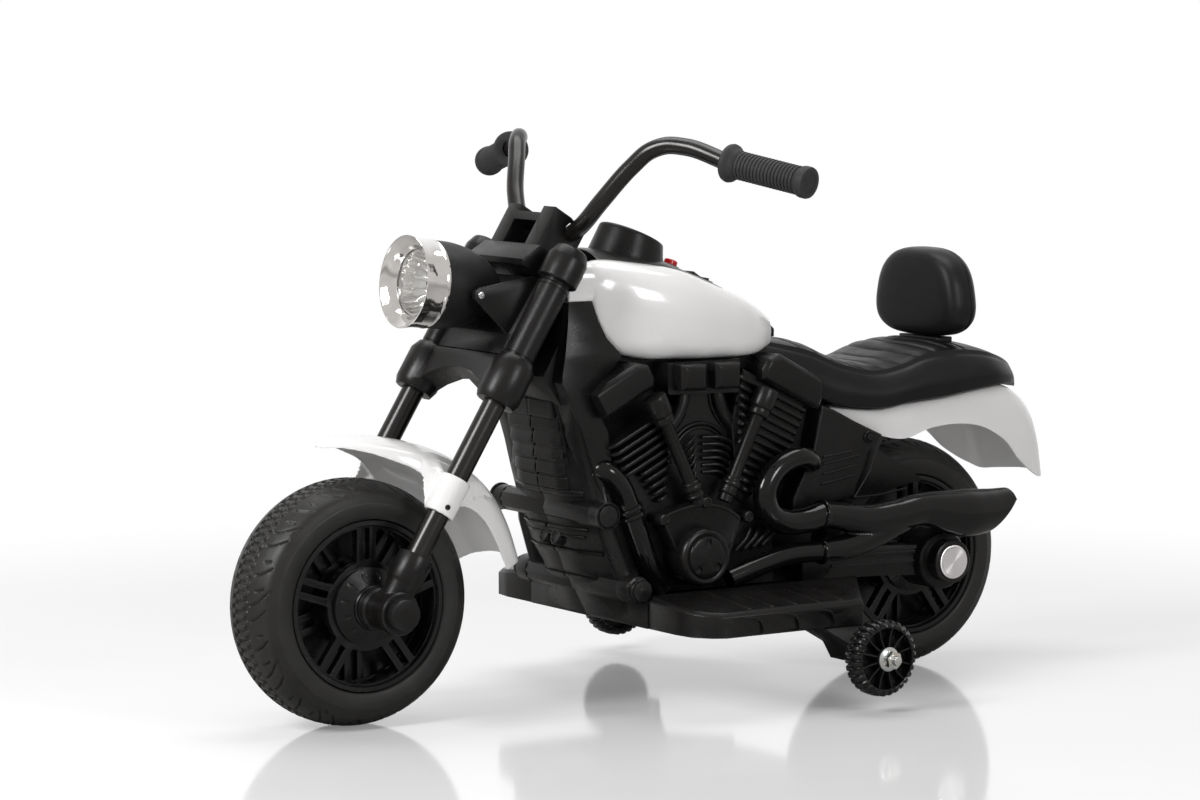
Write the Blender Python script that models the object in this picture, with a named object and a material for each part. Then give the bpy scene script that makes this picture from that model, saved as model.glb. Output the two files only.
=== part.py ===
"""Kids' battery ride-on motorcycle in the chopper style, as an assembly of separate pieces.

All sizes are metres. Inside this script x runs forward from the rear axle, y runs to the
rider's left from the centre plane, and z runs up from the drawing's ground line. The key
points are drawn round DRAWN_AXLE, and station() and stretched() fit them to WHEELBASE.
The empties at the end carry one rigid body each, and move the whole bike so that the
origin lies on the ground under the middle of its length.
"""

from math import asin, cos, degrees, pi, radians, sin

import bmesh
import bpy
from mathutils import Matrix, Vector

# Fits between pieces
GAP = 0.0003
SHAFT_PLAY = 0.0004
RUNNING_GAP = 0.0010

# Wheels
WHEELBASE = 0.712
WHEEL_RADIUS = 0.130
TYRE_HALF_WIDTH = 0.0445
TYRE_BEAD_RADIUS = 0.091
TYRE_RING_RADIUS = 0.1093
TREAD_LUGS = 20
LUG_DEPTH = 0.0024
AXLE_RADIUS = 0.005
RIM_WALL = 0.0065
RIM_HALF_WIDTH = 0.0425
SPOKE_FACE = 0.0385
SPOKE_DEPTH = 0.010
SPOKE_PAIRS = 5
SPOKE_OUTER_EDGE = 0.0114
SPOKE_INNER_EDGE = 0.0039
SPOKE_RING_RADIUS = 0.0475
WEB_HALF_THICKNESS = 0.0040
HUB_CONE_RADIUS = 0.041
HUB_CONE_FACE = 0.0440
HUB_NOSE_RADIUS = 0.024
HUB_NOSE_FACE = 0.0560
RIM_STEPS = 18

# Front fork, measured up along the fork from the front axle
RAKE = radians(32)
FORK_HALF_TRACK = 0.082
FORK_TUBE_RADIUS = 0.0122
FORK_SIDES = 12
STEM_OFFSET = 0.042
STEM_RADIUS = 0.008
LEG_RADIUS = 0.0190
LEG_TOP = 0.0640
LEG_BORE_BOTTOM = 0.032
AXLE_BOSS_RADIUS = 0.0225
AXLE_BOSS_FACE = 0.108
AXLE_CAP_RADIUS = 0.017
AXLE_CAP_LENGTH = 0.0105
COLLAR_RADIUS = 0.024
COLLAR_BOTTOM = 0.245
COLLAR_TOP = 0.2975
COLLAR_BORE_TOP = 0.290
UPPER_RADIUS = 0.0165
DOME_RADIUS = 0.022
DOME_BOTTOM = 0.3905
DOME_TOP = 0.430
TOP_CLAMP_BOTTOM = 0.3925
TOP_CLAMP_TOP = 0.4120
TOP_CLAMP_HALF_WIDTH = 0.0500
VISOR_HALF_WIDTH = 0.0545
RISER_OUTER = 0.045
RISER_INNER = 0.022
RISER_TOP = 0.4680

# Handlebar
BAR_RADIUS = 0.0093
BAR_ROOT_UP = 0.4560
BAR_ROOT_AHEAD = -0.0115
BAR_BENDS = ((0.4590, 0.0600, 0.5180), (0.4500, 0.0840, 0.5440), (0.4300, 0.1130, 0.5820),
             (0.4190, 0.1290, 0.5980), (0.4080, 0.1430, 0.6040), (0.3960, 0.1610, 0.6030))
GRIP_START = (0.375, 0.2093, 0.588)
GRIP_END = (0.3434, 0.3086, 0.5696)
GRIP_RADIUS = 0.0138
GRIP_RIB = 0.0013
GRIP_RIBS = 4
GRIP_FLANGE_RADIUS = 0.0205
GRIP_END_RADIUS = 0.0168

# Headlight, on an axis along x
LAMP_FRONT = (0.6430, 0.4625)
LAMP_TILT = radians(7)
LAMP_LENGTH = 0.115
BEZEL_LENGTH = 0.030
BEZEL_RADIUS = 0.0492
LAMP_RADIUS = 0.0465
LAMP_WALL = 0.0030
LAMP_STEPS = 14
LENS_RADIUS = 0.0345
EAR_FACE = 0.0560
EAR_THICKNESS = 0.0040
LAMP_SCREW = (0.582, 0.449)

# Front fender
FENDER_WALL = 0.0030
SLEEVE_RADIUS = 0.0168
SLEEVE_BOTTOM = 0.1135
SLEEVE_TOP = 0.1555

# Body shells
CORE_HALF_WIDTH = 0.060
SHELL_WALL = 0.005
FLOOR_BOTTOM = 0.0895
FLOOR_TOP = 0.118
FLOOR_HALF_WIDTH = 0.1142
FLOOR_FRONT = 0.411
COWL_HALF_WIDTH = 0.082
LOUVRES = 6
LOUVRE_BOTTOM = 0.246
LOUVRE_PITCH = 0.0125
LOUVRE_HEIGHT = 0.0050
LOUVRE_DEPTH = 0.0050
MID_PIPE = (0.4560, 0.2125)
MID_PIPE_RADIUS = 0.0135
MID_PIPE_HALF_LENGTH = 0.107
LOW_PIPE = (0.4200, 0.1310)
LOW_PIPE_RADIUS = 0.0150
LOW_PIPE_HALF_LENGTH = FLOOR_HALF_WIDTH + 0.0053
HEADSTOCK_RADIUS = 0.019
HEADSTOCK_BOTTOM = 0.2990
HEADSTOCK_TOP = 0.3905

# Tank and console
TANK_INNER = 0.0605
CONSOLE_HALF_WIDTH = 0.0450
CONSOLE_FRONT = 0.430
CONSOLE_REAR = 0.196
COVER_DROP = 0.0105
CORE_DROP = 0.0220
POD_BASE_RADIUS = 0.047
POD_TOP_RADIUS = 0.037
BUTTON_RADIUS = 0.0075
BUTTON_X = 0.304
BUTTON_HEIGHT = 0.012
BUTTON_PROUD = 0.0052
SWITCH_X = 0.2700
SWITCH_LENGTH = 0.026
SWITCH_HALF_WIDTH = 0.0095
SWITCH_HEIGHT = 0.014

# Seat and backrest
SEAT_CHANNELS = 9
CHANNEL_DEPTH = 0.0022
PAD_FRONT = -0.028
PAD_THICKNESS = 0.045
PAD_BOTTOM = 0.374
PAD_TOP = 0.474
PAD_HALF_WIDTH = 0.0735
POST_HALF_WIDTH = 0.035
POST_THICKNESS = 0.022

# Engine relief and exhaust
V_CENTRE = 0.325
V_ANGLE = radians(30)
CYLINDER_OFFSET = 0.018
CYLINDER_BASE = 0.196
CYLINDER_LENGTH = 0.128
FINS = 7
FIN_FACE = 0.0920
FIN_ROOT = 0.0830
COVER_CENTRE = (0.337, 0.159)
COVER_RADIUS = 0.0315
COVER_FACE = 0.1190
PIPE_RADIUS = 0.0125
LOWER_PIPE_RADIUS = 0.0115

# Swing arms and rear axle
ARM_FACE = 0.0865
ARM_BOSS_RADIUS = 0.033
ARM_BOSS_FACE = 0.100
ARM_NECK_RADIUS = 0.0235
ARM_NECK_FACE = 0.112
REAR_CAP_RADIUS = 0.0193
REAR_CAP_LENGTH = 0.0070

# Footboards, pedal and trainer wheels
BOARD_INNER = FLOOR_HALF_WIDTH + 0.0004
BOARD_OUTER = BOARD_INNER + 0.1004
BOARD_TOP = 0.1250
BOARD_FALL = 0.0095
BOARD_FRONT_INNER = 0.410
BOARD_FRONT_OUTER = 0.385
BOARD_REAR_OUTER = 0.200
BOARD_REAR_INNER = 0.134
BOARD_RIBS = 5
BOARD_WALL = 0.008
BOARD_EDGE = 0.003
BOARD_STRAIGHT = 0.0504
PEDAL_REAR = 0.348
PEDAL_FRONT = 0.4040
PEDAL_MIDDLE = BOARD_INNER + 0.0284
PEDAL_HALF_WIDTH = 0.0190
PEDAL_PIN_RADIUS = 0.0020
PEDAL_PIN_DEPTH = 0.0065
TRAINER_X = 0.205
TRAINER_RADIUS = 0.0413
TRAINER_CLEARANCE = 0.0177
TRAINER_MIDDLE = BOARD_OUTER + 0.0373
TRAINER_HALF_WIDTH = 0.0130
TRAINER_LUGS = 16
TRAINER_SPOKES = 10
BRACKET_WIDTH = 0.060
BRACKET_TOP_WIDTH = 0.064
TRAINER_BOLT_RADIUS = 0.0049
NUT_FLANGE_RADIUS = 0.0133
NUT_HEX_RADIUS = 0.0098

# Inside the body
BATTERY_SIZE = (0.070, 0.047, 0.100)
BATTERY_MIDDLE = 0.330
SPEAKER_RADIUS = 0.025

# The front axle's place (x, z) in the drawing that all key points here belong to
DRAWN_AXLE = (0.712, 0.130)

# How far the tail and the front wheel reach from the rear axle sets the middle of the bike
TAIL_REACH = 0.2080
MIDDLE = (WHEELBASE + WHEEL_RADIUS - TAIL_REACH) / 2

GROUND = DRAWN_AXLE[1] - WHEEL_RADIUS
REAR_AXLE = Vector((0, 0, DRAWN_AXLE[1]))
FRONT_AXLE = Vector((WHEELBASE, 0, DRAWN_AXLE[1]))
UP_FORK = Vector((-sin(RAKE), 0, cos(RAKE)))
AHEAD = Vector((cos(RAKE), 0, sin(RAKE)))
ACROSS = Vector((0, 1, 0))
TRAINER_HEIGHT = GROUND + TRAINER_CLEARANCE + TRAINER_RADIUS

# Between these stations the frame's pieces take up a change of wheelbase
STRETCH_REAR = 0.050
STRETCH_FRONT = 0.340

# Key points (x, z) down the length of the bike, and (x, half width) in plan
TANK_CREST = ((0.480, 0.4700), (0.462, 0.4850), (0.436, 0.4900), (0.386, 0.4860), (0.334, 0.4765),
              (0.299, 0.4630), (0.255, 0.4450), (0.215, 0.4215), (0.190, 0.4000))
TANK_BELLY = ((0.480, 0.4375), (0.449, 0.4375), (0.444, 0.4170), (0.436, 0.3980), (0.422, 0.3830),
              (0.400, 0.3755), (0.355, 0.3715), (0.265, 0.3700), (0.238, 0.3720), (0.216, 0.3810))
TANK_PLAN = ((0.478, 0.0640), (0.462, 0.0670), (0.436, 0.0740), (0.400, 0.0880), (0.355, 0.0970),
             (0.310, 0.0985), (0.265, 0.0930), (0.232, 0.0790), (0.216, 0.0680))
TANK_NOSE_FLARE = ((0.436, 0), (0.449, 0.0060), (0.458, 0.0100), (0.477, 0.0140))
SEAT_CROWN = ((0.196, 0.3990), (0.156, 0.3810), (0.116, 0.3620), (0.071, 0.3520), (0.038, 0.3570),
              (0.008, 0.3680), (-0.011, 0.3710), (-0.077, 0.3660), (-0.125, 0.3490),
              (-0.155, 0.3330), (-0.172, 0.3170))
SEAT_LOW = ((0.215, 0.3590), (0.188, 0.3410), (0.162, 0.3250), (0.135, 0.3105), (0.105, 0.3055),
            (0.070, 0.3035), (0.030, 0.3090), (-0.010, 0.3115), (-0.050, 0.3165), (-0.090, 0.3200),
            (-0.125, 0.3195), (-0.155, 0.3150), (-0.175, 0.3080))
SEAT_PLAN = ((0.216, 0.0600), (0.196, 0.0640), (0.160, 0.0700), (0.105, 0.0800), (0.030, 0.0880),
             (-0.050, 0.0880), (-0.095, 0.0810), (-0.125, 0.0640), (-0.148, 0.0400), (-0.172, 0.0120))
SEAT_NOSE = (0.2160, 0.3865)


# Shape makers

def along(table, x):
    """The value that a table of (x, value) points gives at x, on straight runs between them."""
    rows = sorted(table)
    if x <= rows[0][0]:
        return rows[0][1]
    for (x0, v0), (x1, v1) in zip(rows, rows[1:]):
        if x <= x1:
            return v0 + (v1 - v0) * (x - x0) / (x1 - x0)
    return rows[-1][1]


def station(x):
    """Where a station of the frame lies, once its middle has taken up the change of wheelbase."""
    share = min(1.0, max(0.0, (x - STRETCH_REAR) / (STRETCH_FRONT - STRETCH_REAR)))
    return x + (WHEELBASE - DRAWN_AXLE[0]) * share


def stretched(shape):
    """The shape with every point moved to its station."""
    for vertex in shape.data.vertices:
        vertex.co.x = station(vertex.co.x)
    return shape


def mesh_object(points, faces):
    """A closed mesh with its faces turned outwards, as an object in the scene."""
    mesh = bpy.data.meshes.new("shape")
    mesh.from_pydata([tuple(p) for p in points], [], faces)
    work = bmesh.new()
    work.from_mesh(mesh)
    bmesh.ops.recalc_face_normals(work, faces=work.faces)
    if work.calc_volume(signed=True) < 0:
        bmesh.ops.reverse_faces(work, faces=work.faces)
    work.to_mesh(mesh)
    work.free()
    shape = bpy.data.objects.new("shape", mesh)
    bpy.context.scene.collection.objects.link(shape)
    return shape


def loft(rings, closed=False):
    """Joins rings of equally many points, with flat ends, or end to end when closed."""
    count = len(rings[0])
    points = [p for ring in rings for p in ring]
    pairs = list(zip(range(len(rings) - 1), range(1, len(rings))))
    if closed:
        pairs.append((len(rings) - 1, 0))
    faces = [
        (a * count + i, a * count + (i + 1) % count, b * count + (i + 1) % count, b * count + i)
        for a, b in pairs
        for i in range(count)
    ]
    if not closed:
        faces.append(tuple(range(count)))
        faces.append(tuple(range(len(points) - count, len(points))))
    return mesh_object(points, faces)


def prism(outline, y0, y1):
    """An outline of (x, z) points, pushed across the bike from y0 to y1."""
    return loft([[(x, y, z) for x, z in outline] for y in (y0, y1)])


def slab(outline, z0, z1):
    """A plan outline of (x, y) points, pushed up from z0 to z1."""
    return loft([[(x, y, z) for x, y in outline] for z in (z0, z1)])


def box(x0, x1, y0, y1, z0, z1):
    return slab(((x0, y0), (x1, y0), (x1, y1), (x0, y1)), z0, z1)


def turned(profile, centre, axis=ACROSS, steps=24, ring=False, twist=0.0):
    """Turns (radius, distance along the axis) points round an axis; a ring joins its last to its first."""
    centre, axis = Vector(centre), Vector(axis).normalized()
    side = axis.cross(Vector((0, 0, 1)) if abs(axis.z) < 0.9 else Vector((1, 0, 0))).normalized()
    other = axis.cross(side)
    points, rows = [], []
    for radius, distance in profile:
        base = centre + axis * distance
        if radius < 1e-7:
            rows.append([len(points)])
            points.append(base)
            continue
        rows.append(list(range(len(points), len(points) + steps)))
        for k in range(steps):
            turn = twist + 2 * pi * k / steps
            points.append(base + (side * cos(turn) + other * sin(turn)) * radius)
    faces = []
    pairs = list(zip(rows, rows[1:]))
    if ring:
        pairs.append((rows[-1], rows[0]))
    for a, b in pairs:
        for k in range(steps):
            quad = (a[k % len(a)], a[(k + 1) % len(a)], b[(k + 1) % len(b)], b[k % len(b)])
            quad = tuple(dict.fromkeys(quad))
            if len(quad) > 2:
                faces.append(quad)
    if not ring:
        faces += [tuple(row) for row in (rows[0], rows[-1]) if len(row) > 1]
    return mesh_object(points, faces)


def rod(radius, start, end, steps=10):
    """A plain round bar between two points."""
    start, end = Vector(start), Vector(end)
    span = (end - start).length
    return turned(((radius, 0), (radius, span)), start, end - start, steps)


def tube(path, radii, sides=8):
    """A round bar along a path, with one radius or a list of them."""
    path = [Vector(p) for p in path]
    if not isinstance(radii, (list, tuple)):
        radii = [radii] * len(path)
    heading = (path[1] - path[0]).normalized()
    side = heading.orthogonal().normalized()
    rings = []
    for i, (point, radius) in enumerate(zip(path, radii)):
        ahead = path[min(i + 1, len(path) - 1)] - path[max(i - 1, 0)]
        ahead.normalize()
        side = (side - ahead * side.dot(ahead)).normalized()
        other = ahead.cross(side)
        rings.append([
            point + (side * cos(2 * pi * k / sides) + other * sin(2 * pi * k / sides)) * radius
            for k in range(sides)
        ])
    return loft(rings)


def combine(base, others, operation):
    """Applies one Boolean for each of the other shapes, and removes them."""
    for other in others:
        step = base.modifiers.new(operation, "BOOLEAN")
        step.object = other
        step.operation = operation
    graph = bpy.context.evaluated_depsgraph_get()
    made = bpy.data.meshes.new_from_object(base.evaluated_get(graph))
    base.modifiers.clear()
    base.data = made
    for other in others:
        bpy.data.objects.remove(other)
    return base


def fuse(base, *others):
    return combine(base, others, "UNION")


def cut(base, *others):
    return combine(base, others, "DIFFERENCE")


def bore_radius(radius, sides, play=GAP):
    """How wide a many-sided hole must be to clear a bar of this radius at any turn."""
    return (radius + play) / cos(pi / sides)


def mirrored(shape):
    """A copy of the shape on the other side of the centre plane."""
    copy = bpy.data.objects.new("shape", shape.data.copy())
    bpy.context.scene.collection.objects.link(copy)
    copy.data.transform(Matrix.Scale(-1, 4, ACROSS))
    copy.data.flip_normals()
    return copy


def both(name, shape, body, material):
    """Keeps the left shape and its mirror image as two pieces."""
    keep(f"{name}_right", mirrored(shape), body, material)
    keep(f"{name}_left", shape, body, material)


def fork_point(up, ahead=0.0, across=0.0):
    """A point of the front end, up along the fork, ahead of it and across it."""
    return FRONT_AXLE + UP_FORK * up + AHEAD * ahead + ACROSS * across


def fork_block(outline, y0, y1):
    """An outline of (up, ahead) points in the fork's own directions, pushed from y0 to y1."""
    return loft([[fork_point(up, ahead, y) for up, ahead in outline] for y in (y0, y1)])


def up_fork(profile, ahead, across, steps=10):
    """Turns (radius, distance up the fork) points round an axis along the fork."""
    return turned(profile, fork_point(0, ahead, across), UP_FORK, steps)


def crest_point(x):
    """A point on the console's crest."""
    return Vector((station(x), 0, along(TANK_CREST, x)))


# Bodies and materials

BODY_PLACES = {
    "frame": Vector((0, 0, 0)),
    "steering": fork_point(HEADSTOCK_BOTTOM, -STEM_OFFSET),
    "front_wheel": FRONT_AXLE,
    "rear_wheel": REAR_AXLE,
    "trainer_wheel_left": Vector((station(TRAINER_X), TRAINER_MIDDLE, TRAINER_HEIGHT)),
    "trainer_wheel_right": Vector((station(TRAINER_X), -TRAINER_MIDDLE, TRAINER_HEIGHT)),
    "start_button": crest_point(BUTTON_X),
    "power_switch": crest_point(SWITCH_X),
    "foot_pedal": Vector((station(PEDAL_REAR), -PEDAL_MIDDLE, BOARD_TOP - PEDAL_PIN_DEPTH)),
}

MATERIALS = {
    "black_plastic": ((0.020, 0.019, 0.019), 0.42, 0.0),
    "gloss_black": ((0.014, 0.013, 0.013), 0.14, 0.0),
    "white_plastic": ((0.86, 0.85, 0.85), 0.16, 0.0),
    "tyre_black": ((0.022, 0.021, 0.021), 0.60, 0.0),
    "grip_rubber": ((0.018, 0.018, 0.018), 0.68, 0.0),
    "chrome": ((0.86, 0.85, 0.84), 0.07, 1.0),
    "brushed_steel": ((0.72, 0.71, 0.72), 0.30, 1.0),
    "zinc_steel": ((0.62, 0.67, 0.70), 0.28, 1.0),
    "red_plastic": ((0.75, 0.02, 0.02), 0.30, 0.0),
    "clear_lens": ((0.93, 0.94, 0.95), 0.05, 0.0),
    "lamp_blue": ((0.35, 0.50, 0.85), 0.12, 0.0),
    "grey_case": ((0.18, 0.18, 0.19), 0.55, 0.0),
}


def material(name):
    found = bpy.data.materials.get(name)
    if found:
        return found
    colour, roughness, metallic = MATERIALS[name]
    made = bpy.data.materials.new(name)
    made.use_nodes = True
    shader = made.node_tree.nodes["Principled BSDF"]
    shader.inputs["Base Color"].default_value = (*colour, 1)
    shader.inputs["Roughness"].default_value = roughness
    shader.inputs["Metallic"].default_value = metallic
    return made


def keep(name, shape, body, material_name):
    """Names a finished shape, gives it its material and hangs it on its body's empty."""
    mesh = shape.data
    work = bmesh.new()
    work.from_mesh(mesh)
    bmesh.ops.remove_doubles(work, verts=work.verts, dist=2e-6)
    bmesh.ops.dissolve_limit(work, angle_limit=radians(0.4), verts=work.verts, edges=work.edges)
    bmesh.ops.translate(work, verts=work.verts, vec=-BODY_PLACES[body])
    work.to_mesh(mesh)
    work.free()
    mesh.name = name
    shape.name = name
    mesh.materials.clear()
    mesh.materials.append(material(material_name))
    mesh.shade_smooth()
    mesh.set_sharp_from_angle(angle=radians(35))
    shape.parent = BODIES[body]
    return shape


# Wheels

def tyre(name, body):
    """A tyre whose tread rises and falls round the wheel, with flat bands on its side walls."""
    edge = TYRE_HALF_WIDTH
    half = [
        (TYRE_BEAD_RADIUS, edge, 0),
        (TYRE_RING_RADIUS, edge, 0),
        (WHEEL_RADIUS - 0.0115, edge * 0.86, 0),
        (WHEEL_RADIUS - 0.0045, edge * 0.60, 1),
        (WHEEL_RADIUS, edge * 0.20, 1),
    ]
    section = half + [(r, -y, lug) for r, y, lug in reversed(half)]
    centre = BODY_PLACES[body]
    rings = []
    for k in range(2 * TREAD_LUGS):
        turn = pi * k / TREAD_LUGS
        drop = LUG_DEPTH * (k % 2)
        rings.append([
            centre + Vector(((r - drop * lug) * cos(turn), y, (r - drop * lug) * sin(turn)))
            for r, y, lug in section
        ])
    keep(name, loft(rings, closed=True), body, "tyre_black")


def polar_window(centre, middle, corners, y0, y1):
    """A hole through a wheel disc, its corners given as (radius, angle in degrees) on one side."""
    turns = [(r, middle + radians(a)) for r, a in corners]
    turns += [(r, 2 * middle - turn) for r, turn in reversed(turns)]
    outline = [(centre.x + r * cos(t), centre.z + r * sin(t)) for r, t in turns]
    return prism(outline, y0, y1)


def spoke_disc(side, first):
    """One face of a wheel: pairs of parallel spokes, with a slot in each pair and windows between."""
    centre = Vector((0, 0, 0))
    outer = TYRE_BEAD_RADIUS - RIM_WALL
    y0, y1 = sorted((side * SPOKE_FACE, side * (SPOKE_FACE - SPOKE_DEPTH)))
    disc = turned(((outer + 0.002, y0), (outer + 0.002, y1)), centre, steps=RIM_STEPS,
                  twist=pi / RIM_STEPS)
    pitch = 2 * pi / SPOKE_PAIRS
    ends = (outer - 0.003, SPOKE_RING_RADIUS)
    slot = [(r, degrees(asin(SPOKE_INNER_EDGE / r))) for r in ends]
    far, near = (degrees(pitch / 2 - asin(SPOKE_OUTER_EDGE / r)) for r in ends)
    wide = ((ends[0], far / 3), (ends[0], far), (ends[1], near), (ends[1], near / 3))
    holes = []
    for pair in range(SPOKE_PAIRS):
        middle = first + pair * pitch
        holes.append(polar_window(centre, middle, slot, y0 - 0.01, y1 + 0.01))
        holes.append(polar_window(centre, middle + pitch / 2, wide, y0 - 0.01, y1 + 0.01))
    return cut(disc, *holes)


def rim(name, body):
    """The wheel inside the tyre: a barrel, a web, a spoked disc on each side and the hub with its cones."""
    centre = Vector((0, 0, 0))
    outside = TYRE_BEAD_RADIUS * cos(pi / (2 * TREAD_LUGS)) - GAP
    inside = outside - RIM_WALL
    barrel = turned(
        ((inside, -RIM_HALF_WIDTH), (outside, -RIM_HALF_WIDTH), (outside, RIM_HALF_WIDTH),
         (inside, RIM_HALF_WIDTH)),
        centre, steps=RIM_STEPS, ring=True,
    )
    hub = turned(((HUB_NOSE_RADIUS, -HUB_NOSE_FACE), (HUB_CONE_RADIUS, -HUB_CONE_FACE),
                  (HUB_CONE_RADIUS, HUB_CONE_FACE), (HUB_NOSE_RADIUS, HUB_NOSE_FACE)), centre, steps=16)
    discs = spoke_disc(1, pi / 2), spoke_disc(-1, pi / 2 + pi / SPOKE_PAIRS)
    web = turned(((inside + 0.002, -WEB_HALF_THICKNESS), (inside + 0.002, WEB_HALF_THICKNESS)), centre,
                 steps=RIM_STEPS, twist=pi / RIM_STEPS)
    axle_hole = rod(AXLE_RADIUS + SHAFT_PLAY, -ACROSS, ACROSS)
    wheel = cut(fuse(barrel, hub, web, *discs), axle_hole)
    wheel.data.transform(Matrix.Translation(BODY_PLACES[body]))
    keep(name, wheel, body, "black_plastic")


def trainer_wheel(side):
    """A small wheel with cross lugs, a ring of thin spokes and a plain hub."""
    body = f"trainer_wheel_{side}"
    centre = BODY_PLACES[body]
    bands = ((-TRAINER_HALF_WIDTH, 0.0040), (0, 0), (TRAINER_HALF_WIDTH, 0.0040))
    rings = []
    for y, inset in bands:
        ring = []
        for k in range(2 * TRAINER_LUGS):
            turn = pi * k / TRAINER_LUGS
            radius = TRAINER_RADIUS - inset - 0.0022 * (k % 2)
            ring.append(centre + Vector((radius * cos(turn), y, radius * sin(turn))))
        rings.append(ring)
    wheel = loft(rings)
    pitch = 2 * pi / TRAINER_SPOKES
    holes = [
        polar_window(centre, (k + 0.5) * pitch, ((0.0320, 14.5), (0.0145, 10.0)), -1, 1)
        for k in range(TRAINER_SPOKES)
    ]
    bore = rod(TRAINER_BOLT_RADIUS + SHAFT_PLAY, centre - ACROSS, centre + ACROSS)
    keep(body, cut(wheel, bore, *holes), body, "black_plastic")


# Front end

def fork_sides():
    """Per side: the lower leg with its axle boss, the bare tube, the upper cover and the axle cap."""
    y = FORK_HALF_TRACK
    bore = FORK_TUBE_RADIUS + GAP
    leg = up_fork(((0.012, -0.004), (LEG_RADIUS, 0.020), (LEG_RADIUS, LEG_TOP)), 0, y, 14)
    boss = rod(AXLE_BOSS_RADIUS, FRONT_AXLE + ACROSS * (HUB_NOSE_FACE + RUNNING_GAP),
               FRONT_AXLE + ACROSS * AXLE_BOSS_FACE, 16)
    socket = up_fork(((bore, LEG_BORE_BOTTOM), (bore, LEG_TOP + 0.01)), 0, y, FORK_SIDES)
    axle_hole = rod(AXLE_RADIUS + GAP, FRONT_AXLE + ACROSS * 0.05, FRONT_AXLE + ACROSS * 0.12)
    both("fork_leg", cut(fuse(leg, boss), socket, axle_hole), "steering", "black_plastic")

    bare = up_fork(
        ((FORK_TUBE_RADIUS, LEG_BORE_BOTTOM + GAP), (FORK_TUBE_RADIUS, COLLAR_BORE_TOP - GAP)), 0, y, FORK_SIDES)
    both("fork_tube", bare, "steering", "gloss_black")

    foot, shoulder = COLLAR_TOP + GAP, DOME_BOTTOM
    cover = up_fork(
        ((UPPER_RADIUS, foot), (UPPER_RADIUS, shoulder - 0.004), (UPPER_RADIUS - 0.002, shoulder - 0.003),
         (UPPER_RADIUS - 0.002, shoulder), (DOME_RADIUS, shoulder), (DOME_RADIUS, DOME_TOP - 0.012),
         (DOME_RADIUS * 0.80, DOME_TOP - 0.003), (DOME_RADIUS * 0.50, DOME_TOP)),
        0, y, 14)
    both("fork_cover", cover, "steering", "black_plastic")

    start = AXLE_BOSS_FACE + GAP
    cap = turned(
        ((AXLE_CAP_RADIUS, start), (AXLE_CAP_RADIUS, start + AXLE_CAP_LENGTH - 0.0015),
         (AXLE_CAP_RADIUS - 0.0015, start + AXLE_CAP_LENGTH)),
        FRONT_AXLE, steps=16)
    both("front_axle_cap", cap, "steering", "black_plastic")

    reach = AXLE_BOSS_FACE - GAP
    keep("front_axle", rod(AXLE_RADIUS, FRONT_AXLE - ACROSS * reach, FRONT_AXLE + ACROSS * reach),
         "steering", "zinc_steel")


def lower_clamp():
    """The lower yoke: a collar round each fork tube, an arched bridge and a boss for the stem."""
    y = FORK_HALF_TRACK
    top = COLLAR_TOP - 0.001
    arch = [(0.252, -0.068), (0.264, -0.050), (0.273, -0.027), (0.276, 0.0)]
    arch += [(s, -w) for s, w in reversed(arch[:-1])]
    outline = [(top - 0.001, -0.068)] + arch + [(top - 0.001, 0.068)]
    bridge = loft([[fork_point(s, v, w) for s, w in outline] for v in (-0.0163, 0.0117)])
    tongue = fork_block(((0.269, -STEM_OFFSET), (top - 0.002, -STEM_OFFSET), (top - 0.002, -0.005),
                         (0.277, -0.005)), -0.0165, 0.0165)
    boss = up_fork(((0.0175, 0.268), (0.0175, top)), -STEM_OFFSET, 0, 14)
    collars, bores = [], []
    for side in (-y, y):
        collars.append(up_fork(((COLLAR_RADIUS - 0.003, COLLAR_BOTTOM), (COLLAR_RADIUS, COLLAR_BOTTOM + 0.008),
                                (COLLAR_RADIUS, COLLAR_TOP - 0.010), (COLLAR_RADIUS - 0.005, COLLAR_TOP)),
                               0, side, 14))
        bores.append(up_fork(((FORK_TUBE_RADIUS + GAP, COLLAR_BOTTOM - 0.01),
                              (FORK_TUBE_RADIUS + GAP, COLLAR_BORE_TOP)), 0, side, FORK_SIDES))
    stem_hole = up_fork(((STEM_RADIUS + GAP, 0.272), (STEM_RADIUS + GAP, 0.31)), -STEM_OFFSET, 0)
    keep("lower_clamp", cut(fuse(bridge, tongue, boss, *collars), stem_hole, *bores),
         "steering", "black_plastic")


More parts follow.
